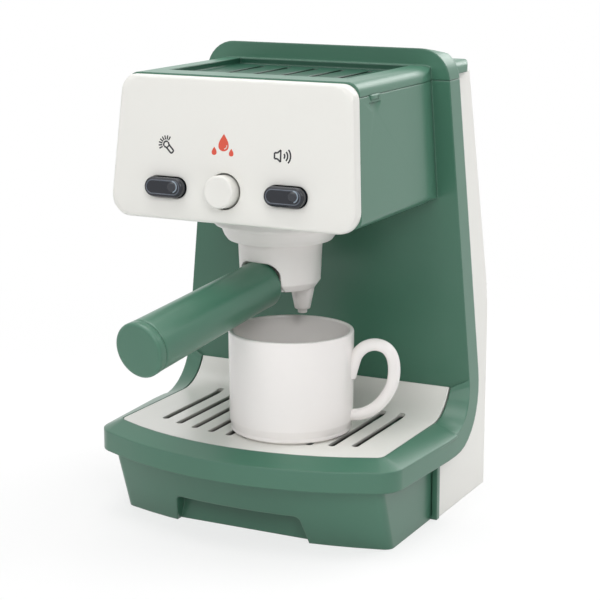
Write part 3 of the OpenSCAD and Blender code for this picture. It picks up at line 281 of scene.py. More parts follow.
GREEN, IVORY = "#477460", "#e9e8e3"
green_abs = moulded("green satin ABS", GREEN, 0.30, edge=1.1)
ivory_abs = moulded("ivory satin ABS", IVORY, 0.30, edge=0.9)
brew_abs = moulded("warm white ABS of the brewing group", "#efebe8", 0.28, edge=0.9)
mug_pp = moulded("white gloss polypropylene", "#f6f2f0", 0.22, depth=0.006)
print("plastics:", green_abs.name, "|", ivory_abs.name)

# %% [markdown]
# ## Painted shade in one moulding
#
# Drain slots and a sunk grille look darker than the skin around them, as little
# light comes back out of a narrow place. That shade is painted into the colour.
# It could be a second material on some faces, but the place says enough. So the
# colour changes with the position: below a height in the drip plate, and inside
# two boxes in the cover.

# %% Painted shade by position
def mix_in_painted_shade(material, code, share):
    """Base colour = (1 - share) painted shade + share (colour so far)."""
    tree = material.node_tree
    base = tree.nodes["Principled BSDF"].inputs["Base Color"]
    mix = add(tree, "ShaderNodeMix", {"Factor": share}, data_type="RGBA")
    painted_shade, unshaded, result = mix.inputs[6], mix.inputs[7], mix.outputs[2]   # this node's colour sockets
    painted_shade.default_value = linear(code)
    if base.is_linked:
        tree.links.new(base.links[0].from_socket, unshaded)
    else:
        unshaded.default_value = tuple(base.default_value)
    tree.links.new(result, base)


def painted_shade_below(material, code, low, high):
    """Painted shade that fades out upwards: share = (z - low) / (high - low) between the two heights, in
    mm.
    """
    tree = material.node_tree
    place = add(tree, "ShaderNodeTexCoord").outputs["Object"]
    height = add(tree, "ShaderNodeSeparateXYZ", {"Vector": place}).outputs["Z"]
    share = add(tree, "ShaderNodeMapRange", {"Value": height, "From Min": low * MM, "From Max": high * MM})
    mix_in_painted_shade(material, code, share.outputs["Result"])


def painted_shade_within(material, code, middle, half):
    """Painted shade inside a box: share is 0 where the largest part of |p - middle| - half is below 0,
    which is inside a box.
    """
    tree = material.node_tree
    middle, half = (tuple(v * MM for v in size) for size in (middle, half))
    place = add(tree, "ShaderNodeTexCoord").outputs["Object"]
    apart = add(tree, "ShaderNodeVectorMath", {0: place, 1: middle}, operation="SUBTRACT")
    size = add(tree, "ShaderNodeVectorMath", {0: apart.outputs[0]}, operation="ABSOLUTE")
    over = add(tree, "ShaderNodeVectorMath", {0: size.outputs[0], 1: half}, operation="SUBTRACT")
    parts = add(tree, "ShaderNodeSeparateXYZ", {"Vector": over.outputs[0]}).outputs
    pair = add(tree, "ShaderNodeMath", {0: parts["X"], 1: parts["Y"]}, operation="MAXIMUM")
    most = add(tree, "ShaderNodeMath", {0: pair.outputs[0], 1: parts["Z"]}, operation="MAXIMUM")
    share = add(tree, "ShaderNodeMapRange", {"Value": most.outputs[0],
                                             "From Min": -0.1 * MM, "From Max": 0.0})
    mix_in_painted_shade(material, code, share.outputs["Result"])


print("stain helpers ready")

# %% Plastics with painted shade
plate_abs = moulded("ivory satin ABS of the drip plate", IVORY, 0.30, edge=0.5)
# painted shade in the drain slots of the drip plate, darker towards the bottom
painted_shade_below(plate_abs, "#4a453f", PLATE_Z - 1.7, PLATE_Z)
cover_abs = moulded("green satin ABS of the cover", GREEN, 0.30, edge=1.1)
# painted shade in the cover's sunk grille, and darker still in its slots
painted_shade_within(cover_abs, "#234e3d", (0, WALL_Y - 38, COVER_Z - 1.7), (48.2, 36.7, 1.5))   # sunk grille
painted_shade_within(cover_abs, "#10241c", (0, WALL_Y - 40, COVER_Z - 4.15), (48.2, 31, 1.1))    # its slots
print("stained:", plate_abs.name, "|", cover_abs.name)

# %% [markdown]
# ## The smaller finishes
#
# The oval keys are polished smoke-tinted polycarbonate, so they mirror the studio
# in a hard bright line. A lighter smoke colour on a raised line round each key's
# face is a painted highlight. Their lens is a clear dome over a lamp, with a
# lighter crescent beside it that is a painted highlight too. Printed marks are
# matt ink. Inside are steel springs and screws, nickel contacts, green circuit
# boards, a clear water tube, an acetal pin and black nylon housings.

# %% Small finishes
smoke_pc = moulded("smoke tinted polycarbonate", "#1b1f27", 0.09, depth=0.0, uneven=0.01,
                   Coat_Weight=0.1, Coat_Roughness=0.03, IOR=1.45)
lens_pc = moulded("dark blue tinted lens", "#141b26", 0.05, depth=0.0, uneven=0.01,
                  Coat_Weight=0.2, Coat_Roughness=0.02, IOR=1.58)
# the light grey of the lens crescent is a painted highlight
lens_highlight_crescent = moulded("light grey lens crescent, painted highlight", "#93a0ac", 0.3, depth=0.0)
# a lighter copy of the smoke polycarbonate, as a painted highlight round each key's face
key_edge_highlight = moulded("smoke polycarbonate, painted edge highlight", "#565d68", 0.16, depth=0.0, uneven=0.01)
dark_ink = moulded("matt dark grey ink", "#1d1d24", 0.6, depth=0.0)
red_ink = moulded("matt coral red ink", "#d6543f", 0.6, depth=0.0)
board_green = moulded("glass fibre board, solder masked", "#1c5a38", 0.35, depth=0.0)
clear_pvc = moulded("clear PVC tube", "#dfe6e8", 0.15, depth=0.0, Transmission_Weight=0.85, IOR=1.5)
milky_lamp = moulded("diffused lamp dome", "#f5f2e0", 0.2, depth=0.0, Transmission_Weight=0.3)
acetal = moulded("acetal, machined", "#d9d6cf", 0.4)
black_nylon = moulded("black glass-filled nylon", "#1a1a1c", 0.5)
cell_foil = moulded("printed battery foil", "#4c4f53", 0.25, depth=0.0, Metallic=0.6)
spring_steel = moulded("drawn spring steel", "#b4b5b8", 0.28, depth=0.002, Metallic=1.0)
nickel = moulded("nickel plated steel", "#c8c4ba", 0.22, depth=0.002, Metallic=1.0)
print(len(bpy.data.materials), "materials made")

# %% [markdown]
# ## Softening the moulded shells
#
# The big shells are cut by openings, seats and bosses, which a single formula
# can't give. Their exact solids are right in every face, but their edges are
# knife sharp. So a copy of each mesh is welded, faces that lie in one plane are
# merged and cut into triangles again, and a narrow rounded bevel is laid along
# every real edge. Weighted normals then keep the flat faces flat, while the
# material itself rounds the light over the edges, as on a moulded part.

# %% Softened copies of the shells
def softened(node, name, body, material, width, angle=28):
    """Copy of a solid's mesh with rounded edges where faces meet at more than angle degrees.
    A rounding is at most width mm wide, and less where small faces leave no room."""
    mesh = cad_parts[node].data.copy()
    mesh.name = name
    bm = bmesh.new()
    bm.from_mesh(mesh)
    bmesh.ops.remove_doubles(bm, verts=bm.verts, dist=2e-5)
    bmesh.ops.dissolve_limit(bm, angle_limit=math.radians(0.6), verts=bm.verts, edges=bm.edges)
    bmesh.ops.triangulate(bm, faces=[f for f in bm.faces if len(f.verts) > 4])
    bm.to_mesh(mesh)
    bm.free()
    for old in ("custom_normal", "sharp_edge", "sharp_face"):
        if old in mesh.attributes:
            mesh.attributes.remove(mesh.attributes[old])
    mesh.polygons.foreach_set("use_smooth", np.ones(len(mesh.polygons), dtype=bool))
    mesh.materials.clear()
    piece = link(mesh, name)
    edge = piece.modifiers.new("rounded edges", "BEVEL")
    edge.width, edge.segments, edge.miter_outer = width * MM, 3, "MITER_ARC"
    edge.limit_method, edge.angle_limit = "ANGLE", math.radians(angle)
    shade = piece.modifiers.new("flat faces stay flat", "WEIGHTED_NORMAL")
    shade.keep_sharp, shade.weight = False, 100
    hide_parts(node)
    return finish_piece(piece, body, material)


def finish_piece(piece, body, material):
    """Gives a piece its material and its body."""
    piece.data.materials.append(material)
    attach(piece, body)
    return piece


shells = [
    softened("front_shell", "body_shell", "housing", green_abs, 1.2),
    softened("top_cover", "lid_shell", "lid", cover_abs, 0.8),
    softened("water_drawer", "drawer_tub", "drawer", green_abs, 0.9),
    softened("rear_housing", "back_housing", "housing", ivory_abs, 0.8),
    softened("control_panel", "front_panel", "housing", ivory_abs, 0.7),
    softened("portafilter_bowl", "filter_bowl", "portafilter", brew_abs, 0.6),
    softened("drip_grate", "drip_plate", "grate", plate_abs, 0.35),
    softened("battery_door", "cell_cover", "cell_door", ivory_abs, 0.4),
]
print("softened:", ", ".join(s.name for s in shells))

# %% [markdown]
# ## Tabs on the cover
#
# On each side of the cover a thin tab hangs over the thumb scoop, where a nail
# can catch it. Its outline is a rounded trapezium, and rings of that outline are
# stacked outwards with a small chamfer at the end.

# %% Cover tabs
TAB_Y = WALL_Y - 74                   # middle of the thumb scoop


def tab(name, side):
    """Rings shrink to the outline's middle at the inner and the outer end: ring = m + s (p - m)."""
    high, low = PARTING_Z + 0.5, PARTING_Z - 2.3
    outline = rounded([[-6.0, high], [6.0, high], [4.6, low], [-4.6, low]], [0.4, 0.4, 0.8, 0.8], 5)
    outline = outline + [TAB_Y, 0]
    middle = outline.mean(axis=0)
    rings = np.stack([middle + s * (outline - middle) for s in (0, 1, 1, 0.93, 0)])
    out = side * (HEAD_HALF + np.array([-0.05, -0.05, 0.4, 0.55, 0.55]))[:, None, None]
    grid = np.concatenate([np.broadcast_to(out, (*rings.shape[:2], 1)), rings], axis=-1)
    return finish_piece(surface(name, grid), "lid", green_abs)


tabs = [tab("lid_tab_left", -1), tab("lid_tab_right", 1)]
print("tabs reach to x in mm:", [round(1000 * max(abs(v.co.x) for v in t.data.vertices), 1) for t in tabs])

# %% [markdown]
# ## The mug
#
# The mug is one round wall with a thick lip and a small foot ring. It is white
# polypropylene out of a polished mould, so it shines more than the body.
# Its profile runs up the outside, over the lip, down the inside and back under
# the foot, so the turned surface is a closed skin with a real inside.

# %% Mug body
MUG_R, MUG_H = 31.0, 50.88            # at the lip


def mug_profile():
    """Closed (r, z) outline of half the mug, in mm, with a radius at each corner."""
    corners = [[0, 1.0], [25.8, 1.0], [26.4, 0.0], [28.3, 0.0], [30.2, 1.3], [29.9, 2.9], [30.7, 6.5],
               [MUG_R, MUG_H], [MUG_R - 2.3, MUG_H], [28.5, 9.0], [25.0, 3.4], [0, 3.4]]
    radii = [0, 0.3, 0.3, 0.5, 0.7, 0.9, 3.0, 1.1, 1.1, 4.0, 3.0, 0]
    return rounded(corners, radii, 6)


mug_body = surface("mug_body", turned(mug_profile(), 128) + MUG, close_u=True)
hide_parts("mug")
finish_piece(mug_body, "cup", mug_pp)
print("mug body faces:", len(mug_body.data.polygons))

# %% [markdown]
# ## The mug's handle
#
# The handle is a round rod, bent like an ear. It is a circle carried along a
# smooth curve through a few points in one upright plane. The upper end curls
# down along the wall and the lower end runs straight into it.

# %% Mug handle
MUG_TURN = math.radians(14)
EAR_R = 3.05                          # radius of the rod
ear = np.array([[29.6, 28.0], [31.2, 34.2], [33.2, 39.8], [37.2, 43.7], [42.4, 45.1],
                [47.6, 43.5], [50.7, 39.0], [51.6, 32.1], [50.4, 24.7], [46.8, 18.0],
                [41.6, 12.6], [35.6, 9.5], [29.4, 8.5]])
flat_path = spline(ear, 10)
lean_out = np.array([math.cos(MUG_TURN), math.sin(MUG_TURN), 0])
ear_path = MUG + flat_path[:, :1] * lean_out + flat_path[:, 1:] * np.array([0, 0, 1])
side = np.array([-math.sin(MUG_TURN), math.cos(MUG_TURN), 0])
mug_ear = surface("mug_handle", capped(swept(ear_path, ring(EAR_R, 24), side)))
finish_piece(mug_ear, "cup", mug_pp)
rod_length = np.linalg.norm(np.diff(ear_path, axis=0), axis=1).sum()
print("handle rod length in mm:", round(float(rod_length), 1))

# %% [markdown]
# ## The portafilter's handle
#
# The handle is a long slim cone with its own axis, which leans down from the
# brewing group and swings a little to the left. The cone is turned about that
# axis and then placed by three directions. The end cap is a second piece, and
# the fine groove between the two is where they are welded together in life.

# %% Portafilter handle
TURN, DROP = math.radians(9), math.radians(9)
BOWL_CROSS, CROSS_Z = 20, 120.6       # radius and height where the handle's axis meets the bowl's wall
HANDLE_REACH = 109                    # from the group's axis to the handle's end, seen from above
GRIP_FROM = 15.5                      # the grip starts here along its own axis, inside the bowl
out_way = np.array([-math.sin(TURN) * math.cos(DROP), -math.cos(TURN) * math.cos(DROP), -math.sin(DROP)])
side_way = np.array([math.cos(TURN), -math.sin(TURN), 0])
top_way = np.cross(out_way, side_way)
HANDLE_Z = CROSS_Z + BOWL_CROSS * math.tan(DROP)
HANDLE_END = HANDLE_REACH / math.cos(DROP)


def on_handle(points):
    """Places points that were made about the handle's own axis."""
    return placed(points, GROUP + [0, 0, HANDLE_Z], side_way, top_way, out_way)


grip_corners = [[0, GRIP_FROM], [12.15, GRIP_FROM], [11.95, 24], [13.05, HANDLE_END - 5.9],
                [12.55, HANDLE_END - 5.15], [0, HANDLE_END - 5.15]]
grip_profile = rounded(grip_corners, [0, 1.2, 3, 0.5, 0.2, 0], 6)
grip = surface("handle_grip", on_handle(turned(grip_profile)), True)
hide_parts("portafilter_handle")
finish_piece(grip, "portafilter", green_abs)
cap_corners = [[0, HANDLE_END - 5.1], [12.6, HANDLE_END - 5.1], [13.2, HANDLE_END - 4.4],
               [13.4, HANDLE_END], [0, HANDLE_END]]
cap_profile = rounded(cap_corners, [0, 0.2, 0.4, 1.7, 0], 8)
cap = surface("handle_end", on_handle(turned(cap_profile)), True)
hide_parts("handle_cap")
finish_piece(cap, "portafilter", green_abs)
print("handle runs from", on_handle(np.array([[0, 0, GRIP_FROM]])).round(1), "to",
      on_handle(np.array([[0, 0, HANDLE_END]])).round(1))

# %% [markdown]
# ## Collar and spout
#
# Both are turned pieces. The collar hangs under the head as a wide flange that
# steps down to a narrower ring. The spout is a small cone with a stub, and it
# stands beside the middle, so it has an axis of its own.

# %% Collar and spout
collar_corners = [[6.1, 151.5], [17.0, 151.5], [17.0, 142.0], [26.0, 142.0], [27.7, 144.3],
                  [28.9, 147.2], [29.6, 148.9], [32.2, 149.5], [33.3, 150.6], [33.3, 158.6],
                  [24.0, 158.6], [24.0, 160.7], [21.6, 160.7], [21.6, 155.8], [6.1, 155.8]]
collar_radii = [0.2, 0.5, 0.8, 0.9, 1.5, 1.2, 0.6, 0.8, 0.9, 0.6, 0.1, 0.3, 0.3, 0.1, 0.2]
collar = surface("group_ring", turned(rounded(collar_corners, collar_radii, 5), 128) + GROUP, True)
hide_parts("group_collar")
finish_piece(collar, "housing", brew_abs)

SPOUT_TURN, SPOUT_OUT = math.radians(27), 11
SPOUT = GROUP + SPOUT_OUT * np.array([math.cos(SPOUT_TURN), math.sin(SPOUT_TURN), 0])
spout_corners = [[1.2, 103.9], [2.3, 103.9], [2.45, 106.0], [3.9, 106.1], [4.1, 107.2],
                 [6.2, 117.9], [2.9, 117.9], [2.9, 121.0], [1.2, 121.0]]
spout_radii = [0.2, 0.4, 0.1, 0.6, 0.5, 0.2, 0.1, 0.2, 0.2]
nozzle = surface("spout_cone", turned(rounded(spout_corners, spout_radii, 4), 64) + SPOUT, True)
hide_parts("spout")
finish_piece(nozzle, "portafilter", brew_abs)
print("spout axis at", SPOUT.round(2))

# %% [markdown]
# ## On the control panel
#
# The panel leans back a little. Everything on it is drawn flat, as x across, y up
# the panel and z out of its front, and is then set on the panel by three
# directions. The same three directions place the keys, the springs and the
# printed marks.

# %% The panel's own directions
panel_up = np.array([0, math.sin(PANEL_LEAN), math.cos(PANEL_LEAN)])
panel_out = np.array([0, -math.cos(PANEL_LEAN), math.sin(PANEL_LEAN)])


def on_panel(points):
    """Places points that were drawn flat on the panel."""
    return placed(points, PANEL_FOOT, np.array([1.0, 0, 0]), panel_up, panel_out)


print("buttons sit at height", on_panel(np.array([[0, BUTTON_ROW, PANEL_T]])).round(1))

# %% [markdown]
# ## The oval keys
#
# Each oval key is a smooth block with a softly crowned face. Rings of one oval
# outline are stacked: each ring is drawn in by some amount and lifted to some
# height. The last ring has shrunk to a line, and its two sides are welded there.

# %% Oval keys
KEY_L, KEY_H = 20.8, 9.4              # outline of an oval key
KEY_TOP = PANEL_T + 4.4               # its face, over the panel's back
STOP_Z = 1.6                          # its retaining collar starts here
LINE_IN, LINE_R = 1.5, 0.3            # raised line: how far in from the outline, and its radius


def oval(length, height, inset, sides=72):
    """Two half circles and two straight sides: x = sign(cos a) s + r cos a, y = r sin a."""
    a = (np.arange(sides) + 0.5) * 2 * np.pi / sides
    r, s = height / 2 - inset, (length - height) / 2
    return np.stack([np.sign(np.cos(a)) * s + r * np.cos(a), r * np.sin(a)], axis=-1)


def stacked(rings, heights):
    """Rings (n, m, 2) with a height each, as one grid (n, m, 3)."""
    z = np.broadcast_to(np.asarray(heights, float)[:, None, None], (*rings.shape[:2], 1))
    return np.concatenate([rings, z], axis=-1)


def key_profile(top, edge, crown, reach):
    """(inset, height) of a key's skin: up the side, round the edge and over the crowned face."""
    t = np.linspace(0, np.pi / 2, 7)
    s = np.linspace(0.15, 1, 9)
    side = np.array([[0, STOP_Z]])
    bend = np.stack([edge * (1 - np.cos(t)), top - crown - edge + edge * np.sin(t)], axis=-1)
    face = np.stack([edge + (reach - edge) * s, top - crown * (1 - s) ** 2], axis=-1)
    return np.vstack([side, bend, face])


def oval_key(name, node, body, x):
    """Closed skin of the key: the profile's first point is the middle of its flat back."""
    skin = key_profile(KEY_TOP, 1.1, 0.35, KEY_H / 2)
    foot = np.array([[KEY_H / 2, STOP_Z], [0, STOP_Z]])
    profile = np.vstack([foot, skin])
    rings = np.stack([oval(KEY_L, KEY_H, inset) for inset in profile[:, 0]])
    grid = stacked(rings, profile[:, 1]) + [x, BUTTON_ROW, 0]
    key = surface(name, on_panel(grid))
    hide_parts(node)
    return finish_piece(key, body, smoke_pc)


def key_line(name, body, x):
    """Raised line that runs round the face of an oval key: half a round rod on the oval outline, in a
    lighter smoke colour that is a painted highlight.
    """
    path = oval(KEY_L, KEY_H, LINE_IN)
    out_of = unit(oval(KEY_L, KEY_H, LINE_IN - 1) - path)
    a = np.linspace(0, np.pi, 6)
    line = path[:, None] + LINE_R * np.cos(a)[None, :, None] * out_of[:, None]
    high = np.broadcast_to(KEY_TOP - 0.28 + LINE_R * np.sin(a)[None, :, None], (*line.shape[:2], 1))
    grid = np.concatenate([line, high], axis=-1) + [x, BUTTON_ROW, 0]
    return finish_piece(surface(name, on_panel(grid), True), body, key_edge_highlight)


light_key = oval_key("light_key_cap", "light_button", "light_key", LIGHT_X)
sound_key = oval_key("sound_key_cap", "sound_button", "sound_key", SOUND_X)
# the lighter line round each oval key's face is a painted highlight
key_line("light_key_line", "light_key", LIGHT_X)
key_line("sound_key_line", "sound_key", SOUND_X)
print("oval keys:", light_key.name, sound_key.name)

# %% [markdown]
# ## The keys' hidden feet
#
# Behind the panel each key has a wider collar, which stops it from falling out,
# and a round stem that meets its switch. They are plain turned or stacked forms.

# %% Collars and stems behind the panel
COLLAR_L, COLLAR_H = 23.4, 12.0       # outline of an oval key's collar
STEM_R, STEM_LOW, STEM_TOP = 2.0, -6.0, 1.7


def key_foot(name, body, x, material, round_r=None):
    """Flat collar under the panel's skin, and the stem that runs back to the switch."""
    low, high = STOP_Z, STOP_Z + 0.9
    if round_r:
        rings = turned(np.array([[0, low], [round_r, low], [round_r, high], [0, high]]), 64)
    else:
        outlines = [oval(COLLAR_L, COLLAR_H, inset) for inset in (COLLAR_H / 2, 0, 0, COLLAR_H / 2)]
        rings = stacked(np.stack(outlines), [low, low, high, high])
    finish_piece(surface(name + "_collar", on_panel(rings + [x, BUTTON_ROW, 0])), body, material)
    corners = [[0, STEM_LOW], [STEM_R, STEM_LOW], [STEM_R, STEM_TOP], [0, STEM_TOP]]
    stem = turned(rounded(corners, [0, 0.4, 0.1, 0], 3), 32)
    finish_piece(surface(name + "_stem", on_panel(stem + [x, BUTTON_ROW, 0])), body, material)


key_foot("light_key", "light_key", LIGHT_X, smoke_pc)
key_foot("sound_key", "sound_key", SOUND_X, smoke_pc)
key_foot("power_key", "power_key", POWER_X, ivory_abs, round_r=9.8)
print("key feet made")

# %% [markdown]
# ## Lenses in the oval keys
#
# Towards the right end of each oval key a small lamp lens shows: a low clear dome
# with a lighter crescent along its right side, which is a painted highlight. Both
# are turned about an axis that stands on the face, the crescent only through part
# of a turn.

# %% Lenses
LENS_R = 2.3
RIM_HALF, RIM_H = 0.3, 0.2            # half width of the rim, and its height over the face


def lens(name, body, x):
    """Dome z = h (1 - (r/R)^2) on the key's face, and an oval rod at its right in a light grey, as a
    painted highlight.
    """
    top = KEY_TOP
    r = np.linspace(0, LENS_R, 8)
    dome = np.stack([r, top + 0.12 + 0.28 * (1 - (r / LENS_R) ** 2)], axis=-1)
    dome = np.vstack([dome, [[LENS_R, top - 0.3], [0, top - 0.3]]])
    centre = [x + 5.1, BUTTON_ROW + 0.5, 0]
    glass = surface(name + "_lens", on_panel(turned(dome, 40) + centre))
    finish_piece(glass, body, lens_pc)
    around = np.linspace(0, 2 * np.pi, 10, endpoint=False)
    rim = np.stack([LENS_R + 0.32 + RIM_HALF * np.cos(around),
                    top + 0.02 + RIM_H * np.sin(around)], axis=-1)
    part = np.linspace(-1.25, 1.5, 30)   # the rim's part of a turn, in radians
    tube = np.stack([rim[:, 0] * np.cos(part)[:, None], rim[:, 0] * np.sin(part)[:, None],
                     np.broadcast_to(rim[:, 1], (len(part), len(around)))], axis=-1)
    # painted highlight: a light grey crescent along the lens's right side
    painted_crescent = surface(name + "_lens_highlight_crescent", on_panel(capped(tube) + centre))
    finish_piece(painted_crescent, body, lens_highlight_crescent)


lens("light_key", "light_key", LIGHT_X)
lens("sound_key", "sound_key", SOUND_X)
print("lenses made")

# %% [markdown]
# ## The round key
#
# The power key is a thick round button with a softly rounded edge and a face that
# is very slightly dished for a fingertip.

# %% Round key
POWER_R, POWER_TOP, FACE_R = 8.0, PANEL_T + 6.2, 6.5
r_face = np.linspace(1, 0, 9)[1:]
face = np.stack([FACE_R * r_face, POWER_TOP - 0.18 * (1 - r_face ** 2) ** 2], axis=-1)
rim_corners = [[POWER_R, STOP_Z], [POWER_R - 0.3, POWER_TOP], [FACE_R, POWER_TOP]]
power_rim = rounded(rim_corners, [0, 1.0, 0], 6, closed=False)
power_profile = np.vstack([[[0, STOP_Z]], power_rim, face])
power_key = surface("power_key_cap", on_panel(turned(power_profile, 96) + [POWER_X, BUTTON_ROW, 0]))
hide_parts("power_button")
finish_piece(power_key, "power_key", ivory_abs)
print("power key faces:", len(power_key.data.polygons))

# %% [markdown]
# ## Springs under the keys
#
# A coil spring is a wire carried along a helix. The end turns lie flat, so the
# pitch starts and ends at nothing and is full in between. A spring shortens as
# its key goes in.


def coil(name, node, x):
    """Helix: angle runs evenly, height follows a smooth ramp that is flat at both ends."""
    low, high, turns, radius, wire = -7.8, 1.55, 5, 3.1, 0.25
    level = 0.6                       # part of a turn that lies flat at each end
    u = np.linspace(0, 1, 24 * turns + 1)
    ramp = np.clip((u * turns - level) / (turns - 2 * level), 0, 1)
    a = 2 * np.pi * turns * u
    z = low + wire + (high - low - 2 * wire) * ramp
    path = np.stack([radius * np.cos(a), radius * np.sin(a), z], axis=-1)
    grid = capped(swept(path, ring(wire, 8), np.array([0, 0, 1.0]))) + [x, BUTTON_ROW, 0]
    piece = surface(name, on_panel(grid))
    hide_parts(node)
    finish_piece(piece, "housing", spring_steel)
    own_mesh(piece)


coil("light_key_spring", "light_spring", LIGHT_X)
coil("sound_key_spring", "sound_spring", SOUND_X)
coil("power_key_spring", "power_spring", POWER_X)
print("springs made")

# %% [markdown]
# ## Printed marks
#
# A small picture over each key says what it does: a shining torch for the light,
# drops for the pump and a loudspeaker for the sound. The marks are pad-printed,
# so they are a skin of ink. Each line is a flat ribbon along a path, and each
# drop is an outline filled towards its middle.

# %% Ink helpers
INK_LOW, INK_TOP = PANEL_T - 0.05, PANEL_T + 0.03
STROKE, THIN_STROKE = 0.8, 0.68


def flat(piece):
    """Shades every face of a piece flat, as its corners are sharp."""
    piece.data.polygons.foreach_set("use_smooth", np.zeros(len(piece.data.polygons), dtype=bool))


def ink_line(name, path, width, material, top=INK_TOP):
    """Ribbon of that width along a flat path, with a skin of ink's height."""
    path = np.column_stack([np.asarray(path, float), np.full(len(path), (INK_LOW + top) / 2)])
    deep = (top - INK_LOW) / 2
    half = width / 2
    outline = np.array([[-half, -deep], [half, -deep], [half, deep], [-half, deep]])
    piece = surface(name, on_panel(capped(swept(path, outline, np.array([0, 0, 1.0])))))
    flat(piece)
    return finish_piece(piece, "housing", material)


def ink_patch(name, outline, material, top=INK_TOP):
    """Filled outline: rings shrink from the edge to the middle, at the bottom and at the top."""
    middle = outline.mean(axis=0)
    rings = np.stack([middle + s * (outline - middle) for s in (0, 1, 1, 0)])
    piece = surface(name, on_panel(stacked(rings, [INK_LOW, INK_LOW, top, top])))
    flat(piece)
    return finish_piece(piece, "housing", material)


def arc(centre, radius, start, stop, count=14):
    """Part of a circle, in degrees."""
    a = np.radians(np.linspace(start, stop, count))
    return np.asarray(centre) + radius * np.stack([np.cos(a), np.sin(a)], axis=-1)


def drop(centre, height, count=40):
    """Teardrop: a round foot whose half width sin(a) narrows with sin(a/2)^1.2 towards the tip."""
    a = np.linspace(0, 2 * np.pi, count, endpoint=False)
    wide = 0.46 * np.sin(a) * np.abs(np.sin(a / 2)) ** 1.2
    return np.asarray(centre) + height * np.stack([wide, 0.5 * np.cos(a)], axis=-1)


print("ink helpers ready")

# %% Drops over the round key
ink_patch("ink_drop_large", drop((-4.1, 38.3), 8.1), red_ink)
ink_patch("ink_drop_left", drop((-9.0, 34.2), 3.9), red_ink)
ink_patch("ink_drop_right", drop((0.1, 33.9), 3.6), red_ink)
ink_line("ink_drop_shine", arc((-4.1, 37.0), 1.75, -75, 5), 0.4, ivory_abs, INK_TOP + 0.02)
print("drops printed")


# %% Torch over the left key
def heading(degrees):
    """Direction (cos a, sin a) in the panel's plane."""
    return np.array([math.cos(math.radians(degrees)), math.sin(math.radians(degrees))])


spot = np.array([-35.0, 35.6])
for i, angle in enumerate(np.linspace(62, 208, 8)):
    ray = spot + np.outer(np.linspace(2.3, 4.3, 3), heading(angle))
    ink_line(f"ink_ray_{i}", ray, THIN_STROKE, dark_ink)
ink_line("ink_torch_glass", arc(spot, 1.5, 60, 210), STROKE, dark_ink)
along = heading(-45)
torch_ways = np.array([along, [-along[1], along[0]]])   # down the torch and across it
torch = spot + np.array([[-0.2, 1.55], [1.2, 1.0], [4.3, 0.95], [4.9, 0.4], [4.9, -0.4],
                         [4.3, -0.95], [1.2, -1.0], [-0.2, -1.55]]) @ torch_ways
ink_line("ink_torch_body", spline(torch, 4), STROKE, dark_ink)
torch_ring = spot + np.array([[1.3, 0.9], [1.3, -0.9]]) @ torch_ways
ink_line("ink_torch_ring", torch_ring, THIN_STROKE, dark_ink)
print("torch printed")

# %% Loudspeaker over the right key
horn = np.array([[26.0, 36.7], [24.3, 35.3], [22.8, 35.3], [22.8, 32.6], [24.3, 32.6], [26.0, 31.2],
                 [26.0, 36.7]])
for i in range(len(horn) - 1):
    ink_line(f"ink_horn_{i}", np.linspace(horn[i], horn[i + 1], 3), STROKE, dark_ink)
for i, radius in enumerate((1.6, 3.1, 4.6)):
    ink_line(f"ink_wave_{i}", arc((26.5, 33.95), radius, -42, 42), STROKE, dark_ink)

# %% [markdown]
# ## Finishes on the solids that stay
#
# The works inside, the base plate and the fixed pin keep their exact solids, and
# only get their finish. Assigning to an object's material slots changes how it
# looks and leaves its mesh alone.

# %% Materials on the remaining solids
finishes = {
    "base_plate": green_abs, "lid_hinge_pins": spring_steel, "button_board": board_green,
    "button_lamps": milky_lamp, "group_spigot": acetal, "batteries": cell_foil,
    "battery_contacts": nickel, "pump_motor": spring_steel, "pump_head": black_nylon,
    "suction_tube": clear_pvc, "water_tube": clear_pvc, "main_board": board_green,
    "speaker": black_nylon, "case_screws": spring_steel,
}
for node, finish in finishes.items():
    for material_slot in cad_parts[node].material_slots:
        material_slot.material = finish
print("solids finished:", len(finishes))

# %% [markdown]
# ## The studio
#
# A plain pale floor and six soft lights are enough: a large one above, one behind
# at the right, a lower one behind, which draws a bright line along the cover's
# edge, a small one at the front right, and two weak ones in front. The world
# sheds little light, and is white where the camera or a mirrored ray meets it.
# The floor is part paper near the machine, which keeps a soft shadow, and turns
# into the same white away from it, so that no horizon shows.

# %% Floor
bpy.ops.mesh.primitive_plane_add(size=6)
floor = bpy.context.object
floor.name = "studio_floor"
paper = bpy.data.materials.new("white paper floor")
paper.use_nodes = True
tree = paper.node_tree
sheet = tree.nodes["Principled BSDF"]
sheet.inputs["Base Color"].default_value = linear("#fafafa")
sheet.inputs["Roughness"].default_value = 0.9
place = add(tree, "ShaderNodeTexCoord").outputs["Object"]
far = add(tree, "ShaderNodeVectorMath", {0: place}, operation="LENGTH")
fade = add(tree, "ShaderNodeMapRange", {"Value": far.outputs["Value"],
                                        "From Min": 0.1, "From Max": 0.55,
                                        "To Min": 0.72, "To Max": 1.0}, interpolation_type="SMOOTHSTEP")
rays = add(tree, "ShaderNodeLightPath")
eyes = add(tree, "ShaderNodeMath", {0: rays.outputs["Is Camera Ray"], 1: rays.outputs["Is Glossy Ray"]},
           operation="MAXIMUM")   # rays that may see the glow
share = add(tree, "ShaderNodeMath", {0: eyes.outputs[0], 1: fade.outputs["Result"]}, operation="MULTIPLY")
glow = add(tree, "ShaderNodeEmission", {"Color": (1, 1, 1, 1), "Strength": 1.0})
blend = add(tree, "ShaderNodeMixShader", {0: share.outputs[0], 1: sheet.outputs[0], 2: glow.outputs[0]})
tree.links.new(blend.outputs[0], tree.nodes["Material Output"].inputs["Surface"])
floor.data.materials.append(paper)
floor.location.z = -0.0002
print("floor ready")

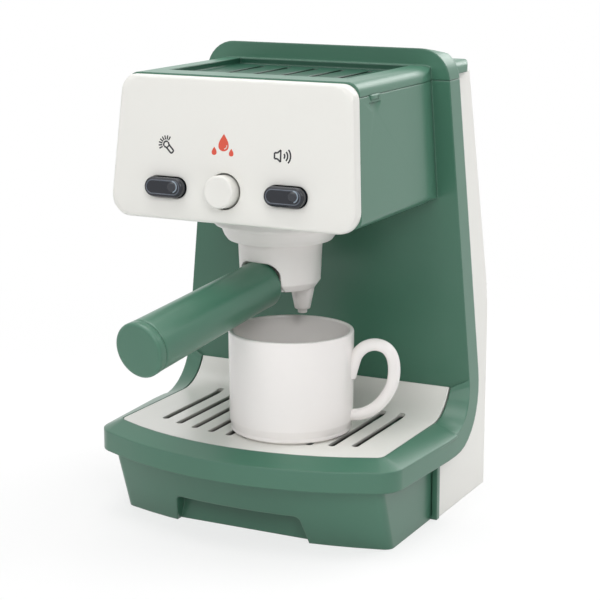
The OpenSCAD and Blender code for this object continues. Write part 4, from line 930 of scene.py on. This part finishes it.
# %% Lights
def softbox(name, place, target, width, height, watts):
    """Area light that faces a target."""
    data = bpy.data.lights.new(name, "AREA")
    data.shape, data.size, data.size_y, data.energy = "RECTANGLE", width, height, watts
    lamp = bpy.data.objects.new(name, data)
    lamp.location = place
    lamp.rotation_euler = (Vector(target) - Vector(place)).to_track_quat("-Z", "Y").to_euler()
    bpy.context.scene.collection.objects.link(lamp)
    return lamp


softbox("top_softbox", (-0.1, -0.1, 1.3), (0, 0, 0.1), 1.2, 1.0, 11.5)
softbox("back_softbox", (0.7, 0.7, 1.1), (0, 0, 0.15), 0.9, 0.9, 7.2)
softbox("right_softbox", (0.9, -1.1, 0.9), (0, 0, 0.12), 0.5, 0.5, 5.8)
softbox("rear_softbox", (0.3, 1.2, 0.82), (0.07, -0.02, 0.22), 0.6, 0.5, 3.0)
softbox("front_softbox", (0.1, -1.3, 0.95), (0, 0, 0.12), 1.0, 0.8, 3.35)
softbox("left_softbox", (-0.7, -1.1, 0.95), (0, 0, 0.12), 1.0, 0.8, 2.9)

world = bpy.data.worlds.new("studio")
bpy.context.scene.world = world
world.use_nodes = True
tree = world.node_tree
tree.nodes.clear()
path = add(tree, "ShaderNodeLightPath")
shed = add(tree, "ShaderNodeBackground", {"Color": (1, 1, 1, 1), "Strength": 0.12})
seen = add(tree, "ShaderNodeBackground", {"Color": (1, 1, 1, 1), "Strength": 1.0})
white = add(tree, "ShaderNodeMath", {0: path.outputs["Is Camera Ray"], 1: path.outputs["Is Glossy Ray"]},
            operation="MAXIMUM")
mix = add(tree, "ShaderNodeMixShader", {0: white.outputs[0], 1: shed.outputs[0], 2: seen.outputs[0]})
add(tree, "ShaderNodeOutputWorld", {"Surface": mix.outputs[0]})
bpy.context.scene.view_settings.view_transform = "Standard"

# %% [markdown]
# ## The camera
#
# The camera stands to the right of the front and a little above, at a distance
# where a long lens keeps the upright edges nearly parallel.

# %% Camera
lens_data = bpy.data.cameras.new("camera")
lens_data.lens, lens_data.sensor_width = 106.75, 36
camera = bpy.data.objects.new("camera", lens_data)
bpy.context.scene.collection.objects.link(camera)
camera.location = (0.3985, -0.7952, 0.3069)
camera.rotation_euler = (math.radians(90 - 12.779), 0, math.radians(26.706))
bpy.context.scene.camera = camera
print("camera ready")

# %% [markdown]
# ## The end
#
# Last, the scene is brought up to date. The visual model has to stay inside the box of
# the solids.

# %% Finish
bpy.context.view_layer.update()
